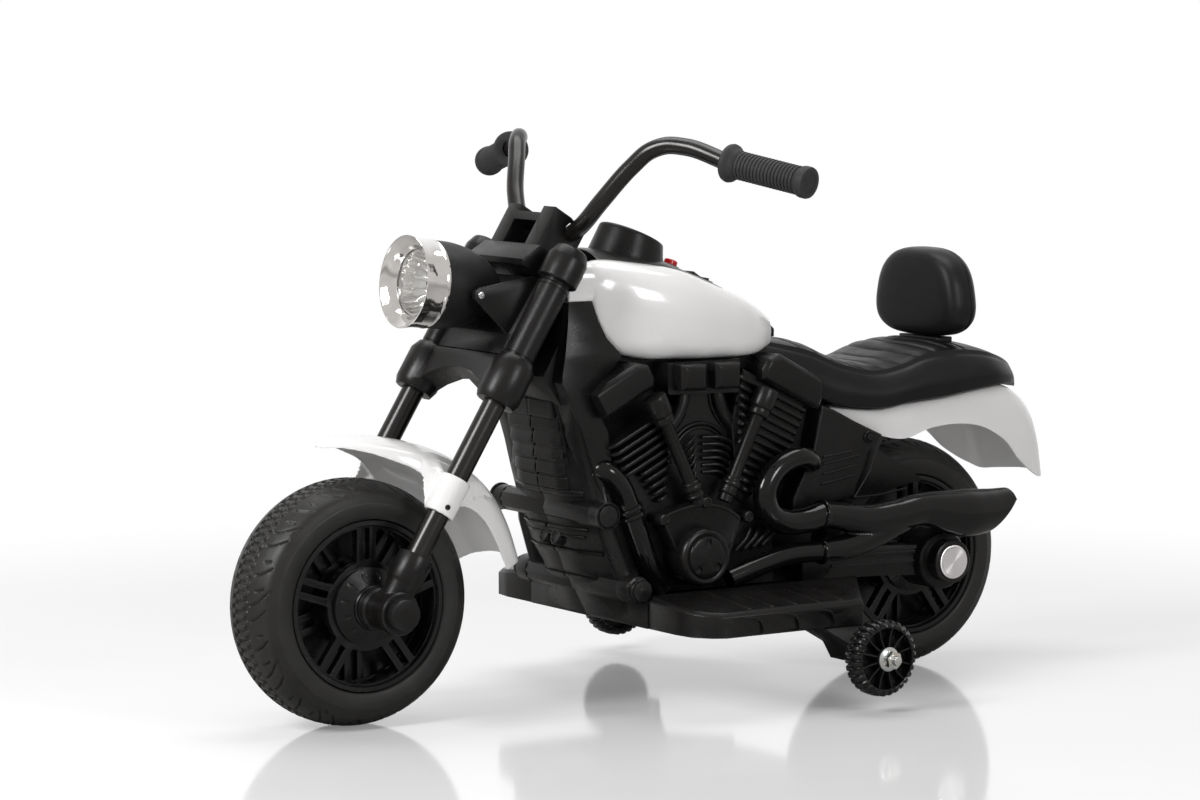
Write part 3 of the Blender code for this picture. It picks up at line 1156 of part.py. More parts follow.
def engine():
    """The V-twin relief on each side: cases, finned cylinders, air box and the first exhaust bend."""
    inner = CORE_HALF_WIDTH + GAP
    cx, cz = COVER_CENTRE
    fan = []
    for heading in range(20, 165, 20):
        turn = radians(heading)
        fan.append((cx - 0.006 + 0.062 * cos(turn), cz - 0.004 + 0.062 * sin(turn)))
    fan += [(cx - 0.028, cz - 0.020), (cx, cz - 0.030), (cx + 0.030, cz - 0.018)]
    case = prism(fan, inner, 0.1045)
    sump = prism(((0.384, 0.122), (0.384, 0.196), (0.262, 0.192), (0.222, 0.165), (0.222, 0.122)),
                 inner, 0.084)
    cover = turned(((COVER_RADIUS, inner), (COVER_RADIUS, COVER_FACE - 0.003),
                    (COVER_RADIUS - 0.004, COVER_FACE)), (cx, 0, cz), steps=18)
    bosses = []
    for heading in (28, 90, 152):
        turn = radians(heading)
        place = (cx - 0.006 + 0.060 * cos(turn), cz - 0.004 + 0.060 * sin(turn))
        bosses.append(rod(0.0062, (place[0], 0.08, place[1]), (place[0], 0.108, place[1]), 6))
    air_box = prism(((0.364, 0.3690), (0.364, 0.333), (0.348, 0.316), (0.345, 0.285), (0.300, 0.285),
                     (0.296, 0.316), (0.272, 0.333), (0.272, 0.3690)), inner, 0.088)
    blocks = []
    for x0 in (0.279, 0.3215):
        rings = [[(x, y, z) for x, z in ((x0 + e, 0.341 + e), (x0 + 0.034 - e, 0.341 + e),
                                         (x0 + 0.034 - e, 0.3655 - e), (x0 + e, 0.3655 - e))]
                 for y, e in ((0.08, 0.0), (0.102, 0.0), (0.105, 0.003))]
        blocks.append(loft(rings))
    elbow = tube(((0.4530, 0.066, 0.2570), (0.4440, 0.080, 0.2580), (0.4300, 0.085, 0.2450),
                  (0.4170, 0.086, 0.2200), (0.4080, 0.086, 0.1960), (0.3840, 0.083, 0.1440)), PIPE_RADIUS, 8)
    ring = turned(((0.0150, -0.004), (0.0150, 0.004)), (0.4125, 0.086, 0.208),
                  Vector((0.009, 0, 0.024)), 8)
    web = prism(((0.378, 0.124), (0.400, 0.150), (0.424, 0.215), (0.440, 0.262), (0.380, 0.262),
                 (0.360, 0.150)), inner, 0.0790)
    shape = fuse(case, sump, air_box, web, *cylinder_block(V_ANGLE), *cylinder_block(-V_ANGLE))
    shape = fuse(shape, cover, pushrod(radians(26)), pushrod(radians(-26)), elbow, ring, *blocks, *bosses)
    front_edge = [(x - GAP, z) for z, x in BAY_FRONT]
    ahead = prism([(0.6, 0.09)] + front_edge + [(0.6, 0.437)], 0.04, 0.2)
    both("engine", stretched(cut(shape, ahead)), "frame", "black_plastic")


def exhaust():
    """The glossy pipes: a U bend and a lower pipe that meet in one silencer with a slashed tip."""
    inner = CORE_HALF_WIDTH + GAP
    bend = ((0.176, inner, 0.2485), (0.176, 0.0800, 0.2485), (0.182, 0.0985, 0.2525), (0.200, 0.1055, 0.2595),
            (0.220, 0.1060, 0.2570),
            (0.241, 0.1060, 0.2440), (0.252, 0.1060, 0.2210), (0.244, 0.1060, 0.2000),
            (0.225, 0.1060, 0.1900), (0.200, 0.1060, 0.1890), (0.172, 0.1080, 0.1950))
    upper = tube(bend, [0.0105, 0.0105, 0.0105, 0.0110, 0.0115, 0.0120, 0.0125, 0.0130, 0.0135, 0.0140, 0.0140], 7)
    lower = tube(((0.298, 0.104, 0.1330), (0.264, 0.106, 0.1435), (0.224, 0.107, 0.1530),
                  (0.172, 0.109, 0.1550)), LOWER_PIPE_RADIUS, 7)
    silencer = tube(((0.176, 0.108, 0.195), (0.150, 0.109, 0.191), (0.122, 0.112, 0.1855),
                     (0.080, 0.116, 0.1880), (0.046, 0.118, 0.1925), (0.010, 0.118, 0.1875),
                     (-0.016, 0.118, 0.1840), (-0.045, 0.118, 0.1850), (-0.078, 0.118, 0.1900)),
                    [0.0145, 0.0155, 0.0170, 0.0175, 0.0180, 0.0240, 0.0270, 0.0245, 0.0190], 10)
    branch = tube(((0.178, 0.109, 0.155), (0.140, 0.110, 0.158), (0.100, 0.113, 0.170),
                   (0.060, 0.116, 0.182)), [0.0130, 0.0140, 0.0140, 0.0110], 7)
    rings = [turned(((0.0165, -0.002), (0.0165, 0.002)), (0.176, 0.108, 0.195), Vector((1, 0, 0.1)), 10),
             turned(((0.0150, -0.002), (0.0150, 0.002)), (0.178, 0.109, 0.155), Vector((1, 0, 0)), 10)]
    slash = prism(((-0.0745, 0.196), (-0.030, 0.150), (-0.150, 0.120), (-0.150, 0.230)), 0.05, 0.2)
    mouth = tube(((-0.020, 0.118, 0.1850), (-0.045, 0.118, 0.1850), (-0.078, 0.118, 0.1900)),
                 [0.0150, 0.0215, 0.0165], 10)
    shape = stretched(cut(fuse(upper, lower, silencer, branch, *rings), slash, mouth))
    both("exhaust", shape, "frame", "gloss_black")


def arm_outline():
    return ((0.186, 0.1195), (0.186, 0.155), (0.154, 0.157), (0.095, 0.152), (0.000, 0.146),
            (0.000, 0.112), (0.080, 0.117), (0.154, 0.1195))


def swing_arms():
    """An arm on each side from the body to the rear axle; the right one houses the gearbox."""
    inner = CORE_HALF_WIDTH + GAP
    boss_start = HUB_NOSE_FACE + RUNNING_GAP
    plate = prism(arm_outline(), inner, ARM_FACE)
    ribs = []
    for k in range(2):
        z = 0.1285 + 0.0110 * k
        ribs.append(prism(((0.030, z), (0.148, z + 0.003), (0.148, z + 0.006), (0.030, z + 0.003)),
                          0.08, ARM_FACE + 0.0025))
    boss = turned(((ARM_BOSS_RADIUS, boss_start), (ARM_BOSS_RADIUS, ARM_BOSS_FACE - 0.002),
                   (ARM_BOSS_RADIUS - 0.002, ARM_BOSS_FACE), (ARM_NECK_RADIUS, ARM_BOSS_FACE),
                   (ARM_NECK_RADIUS, ARM_NECK_FACE)), REAR_AXLE, steps=16)
    hole = rod(AXLE_RADIUS + GAP, REAR_AXLE + ACROSS * 0.05, REAR_AXLE + ACROSS * 0.12)
    left = cut(fuse(stretched(fuse(plate, *ribs)), boss), hole)
    right = mirrored(left)
    pocket_face = ARM_FACE - 0.0035
    case_face = pocket_face - GAP
    room = ((0.100, 0.1215), (0.100, 0.1480), (0.000, 0.1480), (0.000, 0.1215))
    pocket = fuse(stretched(prism(room, 0.05, pocket_face)),
                  rod(ARM_BOSS_RADIUS - 0.004, REAR_AXLE + ACROSS * 0.05, REAR_AXLE + ACROSS * pocket_face, 20))
    right = cut(right, mirrored(pocket))
    bpy.data.objects.remove(pocket)
    keep("swing_arm_left", left, "frame", "black_plastic")
    keep("swing_arm_right", right, "frame", "black_plastic")

    fitted = ((0.0994, 0.1221), (0.0994, 0.1474), (0.000, 0.1474), (0.000, 0.1221))
    case = fuse(stretched(prism(fitted, CORE_HALF_WIDTH - 0.001, case_face)),
                rod(ARM_BOSS_RADIUS - 0.0046, REAR_AXLE + ACROSS * (CORE_HALF_WIDTH - 0.001),
                    REAR_AXLE + ACROSS * case_face, 20),
                rod(0.016, REAR_AXLE + ACROSS * (boss_start - 0.0005), REAR_AXLE + ACROSS * 0.07, 12))
    case = cut(case, rod(AXLE_RADIUS + GAP, REAR_AXLE + ACROSS * 0.05, REAR_AXLE + ACROSS * 0.12))
    other = mirrored(case)
    bpy.data.objects.remove(case)
    keep("drive_gearbox", other, "frame", "grey_case")

    reach = ARM_NECK_FACE - GAP
    keep("rear_axle", rod(AXLE_RADIUS, REAR_AXLE - ACROSS * reach, REAR_AXLE + ACROSS * reach),
         "frame", "zinc_steel")
    start = ARM_NECK_FACE + GAP
    cap = turned(((REAR_CAP_RADIUS, start), (REAR_CAP_RADIUS, start + REAR_CAP_LENGTH - 0.0008),
                  (REAR_CAP_RADIUS - 0.0008, start + REAR_CAP_LENGTH)), REAR_AXLE, steps=16)
    both("rear_axle_cap", cap, "frame", "brushed_steel")


# Footboards, pedal and trainers

def board_top(y):
    """Height of a footboard's tread, which falls a little towards its outer edge."""
    return BOARD_TOP - BOARD_FALL * (abs(y) - BOARD_INNER) / (BOARD_OUTER - BOARD_INNER)


def footboard():
    """A hollow footboard with a rounded front corner, cross ribs and scoops along its outer side."""
    inner, outer, front = BOARD_INNER, BOARD_OUTER, BOARD_FRONT_INNER
    plan = ((BOARD_REAR_INNER, inner), (front, inner), (front, inner + BOARD_STRAIGHT),
            (front - 0.004, outer - 0.025), (BOARD_FRONT_OUTER + 0.008, outer - BOARD_WALL),
            (BOARD_FRONT_OUTER - 0.006, outer), (BOARD_REAR_OUTER, outer))
    edge = BOARD_EDGE
    brim = [(x - edge if x > BOARD_REAR_OUTER + 0.1 else x, y - (edge if y > outer - 0.04 else 0)) for x, y in plan]
    shape = loft([[(x, y, FLOOR_BOTTOM) for x, y in plan], [(x, y, board_top(y) - 0.004) for x, y in plan],
                  [(x, y, board_top(y)) for x, y in brim]])
    ribs = []
    profile = ((0, -0.002), (0.004, -0.002), (0.004, 0.0012), (0, 0.0012))
    for k in range(BOARD_RIBS):
        x = 0.340 - 0.030 * k
        ends = (inner + 0.0094 + 0.006 * k, outer - 0.010)
        ribs.append(loft([[(x + a, y, board_top(y) + b) for a, b in profile] for y in ends]))
    low, far = inner + 0.0064, outer - BOARD_WALL
    under = slab(((0.255, low), (0.395, low), (0.395, outer - 0.030), (0.375, far), (0.255, far)), 0.05, 0.108)
    scoops = []
    for x in (0.238, 0.285, 0.332):
        corners = ((x, outer + 0.001), (x, outer - 0.0040), (x + 0.028, outer + 0.001))
        scoops.append(loft([[(a, b, 0.0915) for a, b in corners],
                            [(a, b, 0.1090 if a > x else 0.1035) for a, b in corners]]))
    return cut(fuse(shape, *ribs), under, *scoops)


def footboards():
    """The left board is plain; the right one has a pocket that holds the accelerator pedal."""
    left = footboard()
    right = mirrored(left)
    y0, y1 = -PEDAL_MIDDLE - PEDAL_HALF_WIDTH, -PEDAL_MIDDLE + PEDAL_HALF_WIDTH
    hinge = Vector((PEDAL_REAR, 0, BOARD_TOP - PEDAL_PIN_DEPTH))
    pocket = box(PEDAL_REAR - 0.006, PEDAL_FRONT + 4 * SHAFT_PLAY, y0 - SHAFT_PLAY, y1 + SHAFT_PLAY, 0.1125, 0.2)
    pin_hole = rod(PEDAL_PIN_RADIUS + GAP, hinge + ACROSS * (y0 - 0.004), hinge + ACROSS * (y1 + 0.004), 10)
    keep("footboard_left", stretched(left), "frame", "black_plastic")
    keep("footboard_right", stretched(cut(right, pocket, pin_hole)), "frame", "black_plastic")

    top = board_top(PEDAL_MIDDLE)
    plate = prism(((PEDAL_REAR - 0.003, top + 0.0005), (PEDAL_REAR - 0.003, hinge.z - 0.003),
                   (PEDAL_REAR + 0.004, hinge.z - 0.003), (PEDAL_FRONT, top - 0.0030), (PEDAL_FRONT, top + 0.0085),
                   (PEDAL_FRONT - 0.004, top + 0.0100)), y0, y1)
    grooves = [box(PEDAL_REAR + 0.012 + 0.009 * k, PEDAL_REAR + 0.015 + 0.009 * k, y0 + 0.004, y1 - 0.004,
                   top + 0.0012 + 0.0017 * k, 0.2) for k in range(4)]
    pedal_hole = rod(PEDAL_PIN_RADIUS + GAP, hinge - ACROSS, hinge + ACROSS, 10)
    keep("foot_pedal", stretched(cut(plate, pedal_hole, *grooves)), "foot_pedal", "black_plastic")
    pin = rod(PEDAL_PIN_RADIUS, hinge + ACROSS * (y0 - 0.004 + GAP), hinge + ACROSS * (y1 + 0.004 - GAP), 10)
    keep("pedal_pin", stretched(pin), "frame", "zinc_steel")


def trainer_mounts():
    """Per side: a tapered bracket under the footboard, the bolt through it and the flanged nut."""
    x, z = station(TRAINER_X), TRAINER_HEIGHT
    wheel_in = TRAINER_MIDDLE - TRAINER_HALF_WIDTH
    wheel_out = TRAINER_MIDDLE + TRAINER_HALF_WIDTH
    out = wheel_in - 0.0012
    back = out - BRACKET_WIDTH
    top = FLOOR_BOTTOM - GAP
    outer_top = BOARD_OUTER - 0.001
    inner_top = outer_top - BRACKET_TOP_WIDTH
    bracket = loft([
        [(x - 0.004, inner_top, top), (x + 0.046, inner_top, top), (x + 0.046, outer_top, top),
         (x - 0.004, outer_top, top)],
        [(x - 0.012, back, z + 0.010), (x + 0.022, back, z + 0.010), (x + 0.022, out, z + 0.010),
         (x - 0.012, out, z + 0.010)],
        [(x - 0.011, back, z - 0.009), (x + 0.011, back, z - 0.009), (x + 0.011, out, z - 0.009),
         (x - 0.011, out, z - 0.009)],
    ])
    centre = Vector((x, 0, z))
    hole = rod(TRAINER_BOLT_RADIUS + GAP, centre, centre + ACROSS, 12)
    both("trainer_bracket", cut(bracket, hole), "frame", "black_plastic")

    start = back - GAP
    end = wheel_out + 0.018
    bolt = fuse(rod(TRAINER_BOLT_RADIUS, centre + ACROSS * (start - 0.002), centre + ACROSS * end, 12),
                rod(0.0085, centre + ACROSS * (start - 0.0065), centre + ACROSS * start, 6))
    both("trainer_bolt", bolt, "frame", "zinc_steel")

    face = wheel_out + 0.0008
    nut = fuse(turned(((NUT_FLANGE_RADIUS, face), (NUT_FLANGE_RADIUS, face + 0.0015),
                       (NUT_HEX_RADIUS, face + 0.0032)), centre, steps=14),
               rod(NUT_HEX_RADIUS, centre + ACROSS * (face + 0.001), centre + ACROSS * (face + 0.0115), 6))
    nut = cut(nut, rod(TRAINER_BOLT_RADIUS + GAP, centre, centre + ACROSS, 12))
    both("trainer_nut", nut, "frame", "zinc_steel")


# Inside pieces

def electrics():
    """The battery on the floor of the body and the speaker behind the louvres."""
    length, width, height = BATTERY_SIZE
    x, low = BATTERY_MIDDLE, FLOOR_BOTTOM + SHELL_WALL + GAP
    battery = box(x - length / 2, x + length / 2, -width / 2, width / 2, low, low + height)
    keep("battery", stretched(battery), "frame", "grey_case")
    speaker = turned(((SPEAKER_RADIUS * 0.45, 0.436), (SPEAKER_RADIUS * 0.45, 0.446),
                      (SPEAKER_RADIUS, 0.456), (SPEAKER_RADIUS, 0.4617)), (0, 0, 0.294),
                     Vector((1, 0, 0)), 14)
    keep("speaker", stretched(speaker), "frame", "grey_case")


def clear_scene():
    for old in list(bpy.data.objects):
        bpy.data.objects.remove(old)


def make_bodies():
    """One empty per rigid body, each at its joint; the root moves the origin to mid length."""
    root = bpy.data.objects.new("bike", None)
    root.location = (-MIDDLE, 0, -GROUND)
    bpy.context.scene.collection.objects.link(root)
    for name, place in BODY_PLACES.items():
        holder = bpy.data.objects.new(f"{name}_body", None)
        holder.parent = root
        holder.location = place
        bpy.context.scene.collection.objects.link(holder)
        BODIES[name] = holder


BODIES = {}
clear_scene()
make_bodies()
for wheel in ("front", "rear"):
    tyre(f"{wheel}_tyre", f"{wheel}_wheel")
    rim(f"{wheel}_rim", f"{wheel}_wheel")
for hand in ("left", "right"):
    trainer_wheel(hand)
fork_sides()
lower_clamp()
top_clamp()
handlebar()
headlight()
headlight_bracket()
front_fender()
body_shells()
tank_covers()
console()
seat()
backrest()
rear_fender()
engine()
exhaust()
swing_arms()
footboards()
trainer_mounts()
electrics()
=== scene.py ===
"""Looks of a kids' battery ride-on motorcycle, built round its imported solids.

Sizes and places are millimetres, and skin() makes its meshes in metres. As in the solids' own
source, x runs forward from the rear axle, y to the rider's left and z up from the ground, and
piece() moves each finished shape to the frame. Lights and the camera stand in metres.
"""

from math import asin, cos, pi, radians, sin, sqrt, tan

import bmesh
import bpy
import numpy as np
from mathutils import Matrix, Vector


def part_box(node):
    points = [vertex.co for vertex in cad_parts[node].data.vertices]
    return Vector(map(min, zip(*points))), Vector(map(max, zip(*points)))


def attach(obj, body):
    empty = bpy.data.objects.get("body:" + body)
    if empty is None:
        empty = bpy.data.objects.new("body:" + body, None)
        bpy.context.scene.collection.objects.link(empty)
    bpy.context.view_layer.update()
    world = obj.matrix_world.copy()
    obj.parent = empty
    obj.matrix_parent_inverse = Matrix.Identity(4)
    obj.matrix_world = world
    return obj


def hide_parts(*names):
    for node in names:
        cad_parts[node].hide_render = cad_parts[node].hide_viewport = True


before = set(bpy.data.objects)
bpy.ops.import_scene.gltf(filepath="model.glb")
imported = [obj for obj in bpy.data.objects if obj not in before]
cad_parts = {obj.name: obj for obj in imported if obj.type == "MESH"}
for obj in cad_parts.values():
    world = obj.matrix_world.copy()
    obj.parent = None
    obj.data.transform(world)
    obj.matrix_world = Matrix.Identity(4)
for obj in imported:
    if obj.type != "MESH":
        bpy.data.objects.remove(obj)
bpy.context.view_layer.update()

MM = 0.001
# The radius that stands for a point in the middle of a turned shape
LEAST = 0.01
AXLE_X = sum(corner.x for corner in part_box("rear_axle")) / 2 / MM
ACROSS = Vector((0, 1, 0))
FORWARD = Vector((1, 0, 0))
UP = Vector((0, 0, 1))

# Wheels
WHEEL_RADIUS = 130
WHEELBASE = 712
REAR_AXLE = Vector((0, 0, WHEEL_RADIUS))
FRONT_AXLE = Vector((WHEELBASE, 0, WHEEL_RADIUS))
TYRE_HALF_WIDTH = 44.5
BEAD_RADIUS = 91
BAND_RADIUS = 109.3
TYRE_STEPS = 720
CENTRE_LUGS = 78
LUG_ROWS = 16
LUG_DEPTH = 2.1
SHOULDER_SECTORS = 10
GROOVE_DEPTH = 1.9
# Start and end across the shoulder, and how far each groove sweeps round
SHOULDER_GROOVES = ((0.06, 0.97, 0.3), (0.3, 0.72, 0.24), (0.12, 0.86, 0.26), (0.38, 0.7, 0.22),
    (0.1, 0.9, 0.28))
RIM_OUTER = 89.5
RIM_WALL = 6
SPOKE_FACE = 38.5
SPOKE_DEPTH = 10
SPOKE_PAIRS = 5
SPOKE_OUTER_EDGE = 11.4
SPOKE_INNER_EDGE = 3.9
SPOKE_RING_RADIUS = 47
WEB_HALF_THICKNESS = 4
WEB_SPOKE_FACE = 11
HUB_CONE_RADIUS = 41
HUB_CONE_FACE = 44
HUB_NOSE_RADIUS = 24
HUB_NOSE_FACE = 56
HUB_SLOTS = 12

# Fork, measured up along it from the front axle
RAKE = radians(32)
UP_FORK = Vector((-sin(RAKE), 0, cos(RAKE)))
AHEAD = Vector((cos(RAKE), 0, sin(RAKE)))
FORK_HALF_TRACK = 82
FORK_TUBE_RADIUS = 12.2
LEG_RADIUS = 19
LEG_TOP = 64
AXLE_BOSS_RADIUS = 22.5
AXLE_BOSS_FACE = 108
AXLE_CAP_RADIUS = 17
AXLE_CAP_LENGTH = 10.5
COLLAR_TOP = 297.5
COLLAR_BORE_TOP = 290
UPPER_RADIUS = 16.5
DOME_RADIUS = 22
DOME_BOTTOM = 390.5
DOME_TOP = 430
BAR_ROOT = (456, -11.5)
BAR_RADIUS = 9.3
RISER_OUTER = 45
BAR_BENDS = ((459, 60, 518), (450, 84, 544), (430, 113, 582), (419, 129, 598), (408, 143, 604),
    (396, 161, 603))
GRIP_START = (375, 209.3, 588)
GRIP_END = (343.4, 308.6, 569.6)
GRIP_RADIUS = 13.8
GRIP_RIBS = 17

# Headlight
LAMP_FRONT = (643, 462.5)
LAMP_TILT = radians(7)
LAMP_LENGTH = 115
BEZEL_RADIUS = 49.2
LAMP_RADIUS = 46.5
LENS_RADIUS = 34.5
EAR_FACE = 56
LAMP_SCREW = (582, 449)

# Body tables (x, z) and (x, half width), the same as the solids'
TANK_CREST = ((480, 470), (462, 485), (436, 490), (386, 486), (334, 476.5), (299, 463), (255, 445),
    (215, 421.5), (190, 400))
TANK_BELLY = ((480, 437.5), (449, 437.5), (444, 417), (436, 398), (422, 383), (400, 375.5), (355, 371.5),
    (265, 370), (238, 372), (216, 381))
TANK_PLAN = ((478, 64), (462, 67), (436, 74), (400, 88), (355, 97), (310, 98.5), (265, 93), (232, 79),
    (216, 68))
TANK_NOSE_FLARE = ((436, 0), (449, 6), (458, 10), (477, 14))
TANK_INNER = 60.5
CONSOLE_HALF_WIDTH = 45
SEAT_NOSE = 386.5
BUTTON_RADIUS = 7.5
BUTTON_X = 304
BUTTON_RISE = 2.6
SWITCH_X = 270
SWITCH_LENGTH = 26
SWITCH_HALF_WIDTH = 9.5
COVER_DROP = 10.5
CORE_DROP = 22
SEAT_CROWN = ((216, 386.5), (196, 385), (156, 379), (116, 362), (71, 352), (38, 357), (8, 368), (-11, 371),
    (-77, 366), (-125, 349), (-155, 333), (-172, 317))
SEAT_LOW = ((215, 359), (188, 341), (162, 325), (135, 310.5), (105, 305.5), (70, 303.5), (30, 309),
    (-10, 311.5), (-50, 316.5), (-90, 320), (-125, 319.5), (-155, 315), (-175, 308))
SEAT_PLAN = ((216, 60), (196, 64), (160, 70), (105, 80), (30, 88), (-50, 88), (-95, 81), (-125, 64),
    (-148, 40), (-172, 12))
SEAT_CHANNELS = 10
CHANNEL_DEPTH = 2.4
CHANNEL_BOW = 14
PIPING_AT = 0.8
PAD_FRONT = -28
PAD_THICKNESS = 45
PAD_BOTTOM = 374
PAD_TOP = 474
PAD_HALF_WIDTH = 73.5

# Camera and studio
CAMERA_YAW = radians(-123.688)
CAMERA_PITCH = radians(5.787)
CAMERA_PLACE = (2.8844, 3.7334, 0.7786)
CAMERA_LENS = 124.95
FLOOR_REACH = 30000
FLOOR_LIFT = 0.2
FLOOR_FADE = (0.65, 1.6)
FLOOR_IN_SHINE = (0.4, 0.39, 0.38)
ROOM_GLOW = 0.13
ROOM_IN_SHINE = (0.52, 0.5, 0.485)
# Name, place, target, size and power of each soft box
SOFT_BOXES = (
    ("ahead", (2.2, 0.3, 1.6), (0.25, 0, 0.2), (0.8, 0.9), 46),
    ("beside", (-0.3, 2.5, 1.25), (0, 0, 0.25), (0.7, 0.6), 19),
    ("overhead", (-0.2, -0.2, 2.1), (0, 0, 0.3), (1.8, 1.1), 22),
)


# Curves

def smooth(rows, steps, corners=()):
    """The rows with steps - 1 more between each two, on curves that turn sharply only at the corners."""
    rows = np.asarray(rows, float)
    points = rows.reshape(len(rows), -1)
    last = len(points) - 1
    gaps = points[1:] - points[:-1]
    sizes = [max(np.linalg.norm(gap), 1e-9) for gap in gaps]
    slopes = [gap / size for gap, size in zip(gaps, sizes)]
    marks = {0, last, *corners}

    def heading(i, span):
        if i in marks:
            return slopes[span]
        total = sizes[i - 1] + sizes[i]
        return (slopes[i - 1] * sizes[i] + slopes[i] * sizes[i - 1]) / total

    share = (np.arange(steps) / steps)[:, None]
    cube, square = share ** 3, share ** 2
    made = []
    for i in range(last):
        a, b = heading(i, i) * sizes[i], heading(i + 1, i) * sizes[i]
        made.append((2 * cube - 3 * square + 1) * points[i] + (cube - 2 * square + share) * a
            + (3 * square - 2 * cube) * points[i + 1] + (cube - square) * b)
    made.append(points[-1:])
    return np.vstack(made).reshape((-1,) + rows.shape[1:])


def curve(rows, steps):
    """The points of a smooth outline, to add to others."""
    return [tuple(point) for point in smooth(rows, steps)]


def chart(table, corners=()):
    """A function of x that runs smoothly through the table's (x, value) points."""
    rows = sorted(table)
    line = smooth(rows, 10, corners=[rows.index(table[c]) for c in corners])
    return lambda x: float(np.interp(x, line[:, 0], line[:, 1]))


def fillet(points, radius, steps):
    """The closed outline with its corners rounded, by less where a side is short; radius may be a list."""
    points = [Vector(p) for p in points]
    made = []
    for i, corner in enumerate(points):
        before, after = points[i - 1] - corner, points[(i + 1) % len(points)] - corner
        reach = before.normalized().angle(after.normalized())
        size = radius[i] if isinstance(radius, list) else radius
        back = min(size / max(tan(reach / 2), 1e-6), 0.45 * before.length, 0.45 * after.length)
        if back < 1e-6 or abs(reach - pi) < 0.02:
            made.append(corner)
            continue
        start, end = corner + before.normalized() * back, corner + after.normalized() * back
        for k in range(steps + 1):
            t = k / steps
            made.append(start * (1 - t) ** 2 + corner * (2 * t * (1 - t)) + end * t ** 2)
    return [tuple(p) for p in made]


def arc(radius, start, end, steps=24):
    """Points on an arc of a circle, angles in degrees."""
    turns = [radians(start + (end - start) * k / steps) for k in range(steps + 1)]
    return [(radius * cos(turn), radius * sin(turn)) for turn in turns]


# Shapes

def held(mesh):
    """A new object in the scene that holds the mesh."""
    shape = bpy.data.objects.new("shape", mesh)
    bpy.context.scene.collection.objects.link(shape)
    return shape


def skin(rings, closed=False):
    """Joins rings of equally many points into a skin, capped at its ends or joined end to end."""
    rings = np.asarray(rings, float)
    rows, count = rings.shape[:2]
    first = np.arange(rows if closed else rows - 1)
    a = (first[:, None] * count + np.arange(count)).ravel()
    b = (first[:, None] * count + (np.arange(count) + 1) % count).ravel()
    onward = ((first[:, None] + 1) % rows) * count
    c = (onward + (np.arange(count) + 1) % count).ravel()
    d = (onward + np.arange(count)).ravel()
    faces = np.stack((a, b, c, d), axis=1).tolist()
    if not closed:
        faces.append(list(range(count)))
        faces.append(list(range((rows - 1) * count, rows * count)))
    mesh = bpy.data.meshes.new("shape")
    mesh.from_pydata((rings.reshape(-1, 3) * MM).tolist(), [], faces)
    work = bmesh.new()
    work.from_mesh(mesh)
    bmesh.ops.recalc_face_normals(work, faces=work.faces)
    if work.calc_volume(signed=True) < 0:
        bmesh.ops.reverse_faces(work, faces=work.faces)
    work.to_mesh(mesh)
    work.free()
    return held(mesh)


def prism(outline, y0, y1):
    """An outline of (x, z) points, pushed across the bike from y0 to y1."""
    return skin([[(x, y, z) for x, z in outline] for y in (y0, y1)])


def box(x0, x1, y0, y1, z0, z1):
    return skin([[(x0, y0, z), (x1, y0, z), (x1, y1, z), (x0, y1, z)] for z in (z0, z1)])


def turned(profile, centre, axis=ACROSS, steps=48, ring=False, relief=None):
    """Turns (radius, distance along the axis) points round an axis; relief moves them in or out."""
    centre, axis = Vector(centre), Vector(axis).normalized()
    side = FORWARD if abs(axis.x) < 0.9 else UP
    side = (side - axis * side.dot(axis)).normalized()
    other = side.cross(axis)
    turn = 2 * pi * np.arange(steps) / steps
    around = np.outer(np.cos(turn), side) + np.outer(np.sin(turn), other)
    rings = []
    for i, (radius, distance) in enumerate(profile):
        size = np.full(steps, float(radius))
        if relief is not None:
            size = size + relief(turn, radius, distance)
        rings.append(np.array(centre + axis * distance) + around * np.maximum(size, LEAST)[:, None])
    return skin(rings, closed=ring)


def rod(radius, start, end, steps):
    """A round bar between two points."""
    start, end = Vector(start), Vector(end)
    return turned([(radius, 0), (radius, (end - start).length)], start, end - start, steps)


def tube(path, radius, sides=24, hint=UP, section=None):
    """A bar along a path; section gives its outline as (angle) -> share of the radius, from the hint on."""
    path = [Vector(p) for p in path]
    radii = np.broadcast_to(radius, len(path))
    turn = 2 * pi * np.arange(sides) / sides
    share = np.ones(sides) if section is None else section(turn)
    rings = []
    side = None
    for i, (point, size) in enumerate(zip(path, radii)):
        ahead = (path[min(i + 1, len(path) - 1)] - path[max(i - 1, 0)]).normalized()
        start = Vector(hint) if side is None else side
        side = (start - ahead * start.dot(ahead)).normalized()
        other = ahead.cross(side)
        rings.append(np.array(point) + (np.outer(np.cos(turn) * share, side)
            + np.outer(np.sin(turn) * share, other)) * size)
    return skin(rings)


def pipe(rows, radius, steps, sides=40, corners=()):
    """A round bar on a smooth path; radius is one size, or one for each of the rows."""
    if np.ndim(radius):
        radius = smooth([[size] for size in radius], steps)[:, 0]
    return tube(smooth(rows, steps, corners=corners), radius, sides)


def combine(base, others, operation):
    for other in others:
        step = base.modifiers.new(operation, "BOOLEAN")
        step.object = other
        step.operation = operation
        step.solver = "EXACT"
    return settle(base, others)


def settle(shape, spent=()):
    """Applies a shape's modifiers and removes the shapes they used."""
    graph = bpy.context.evaluated_depsgraph_get()
    made = bpy.data.meshes.new_from_object(shape.evaluated_get(graph))
    shape.modifiers.clear()
    shape.data = made
    for other in spent:
        bpy.data.objects.remove(other)
    return shape


def fuse(base, *others):
    return combine(base, others, "UNION")


def cut(base, *others):
    return combine(base, others, "DIFFERENCE")


def joined(*shapes):
    """One object that holds all the shapes as they are."""
    work = bmesh.new()
    for shape in shapes:
        work.from_mesh(shape.data)
    for shape in shapes[1:]:
        bpy.data.objects.remove(shape)
    work.to_mesh(shapes[0].data)
    work.free()
    return shapes[0]


def copied(shape):
    return held(shape.data.copy())


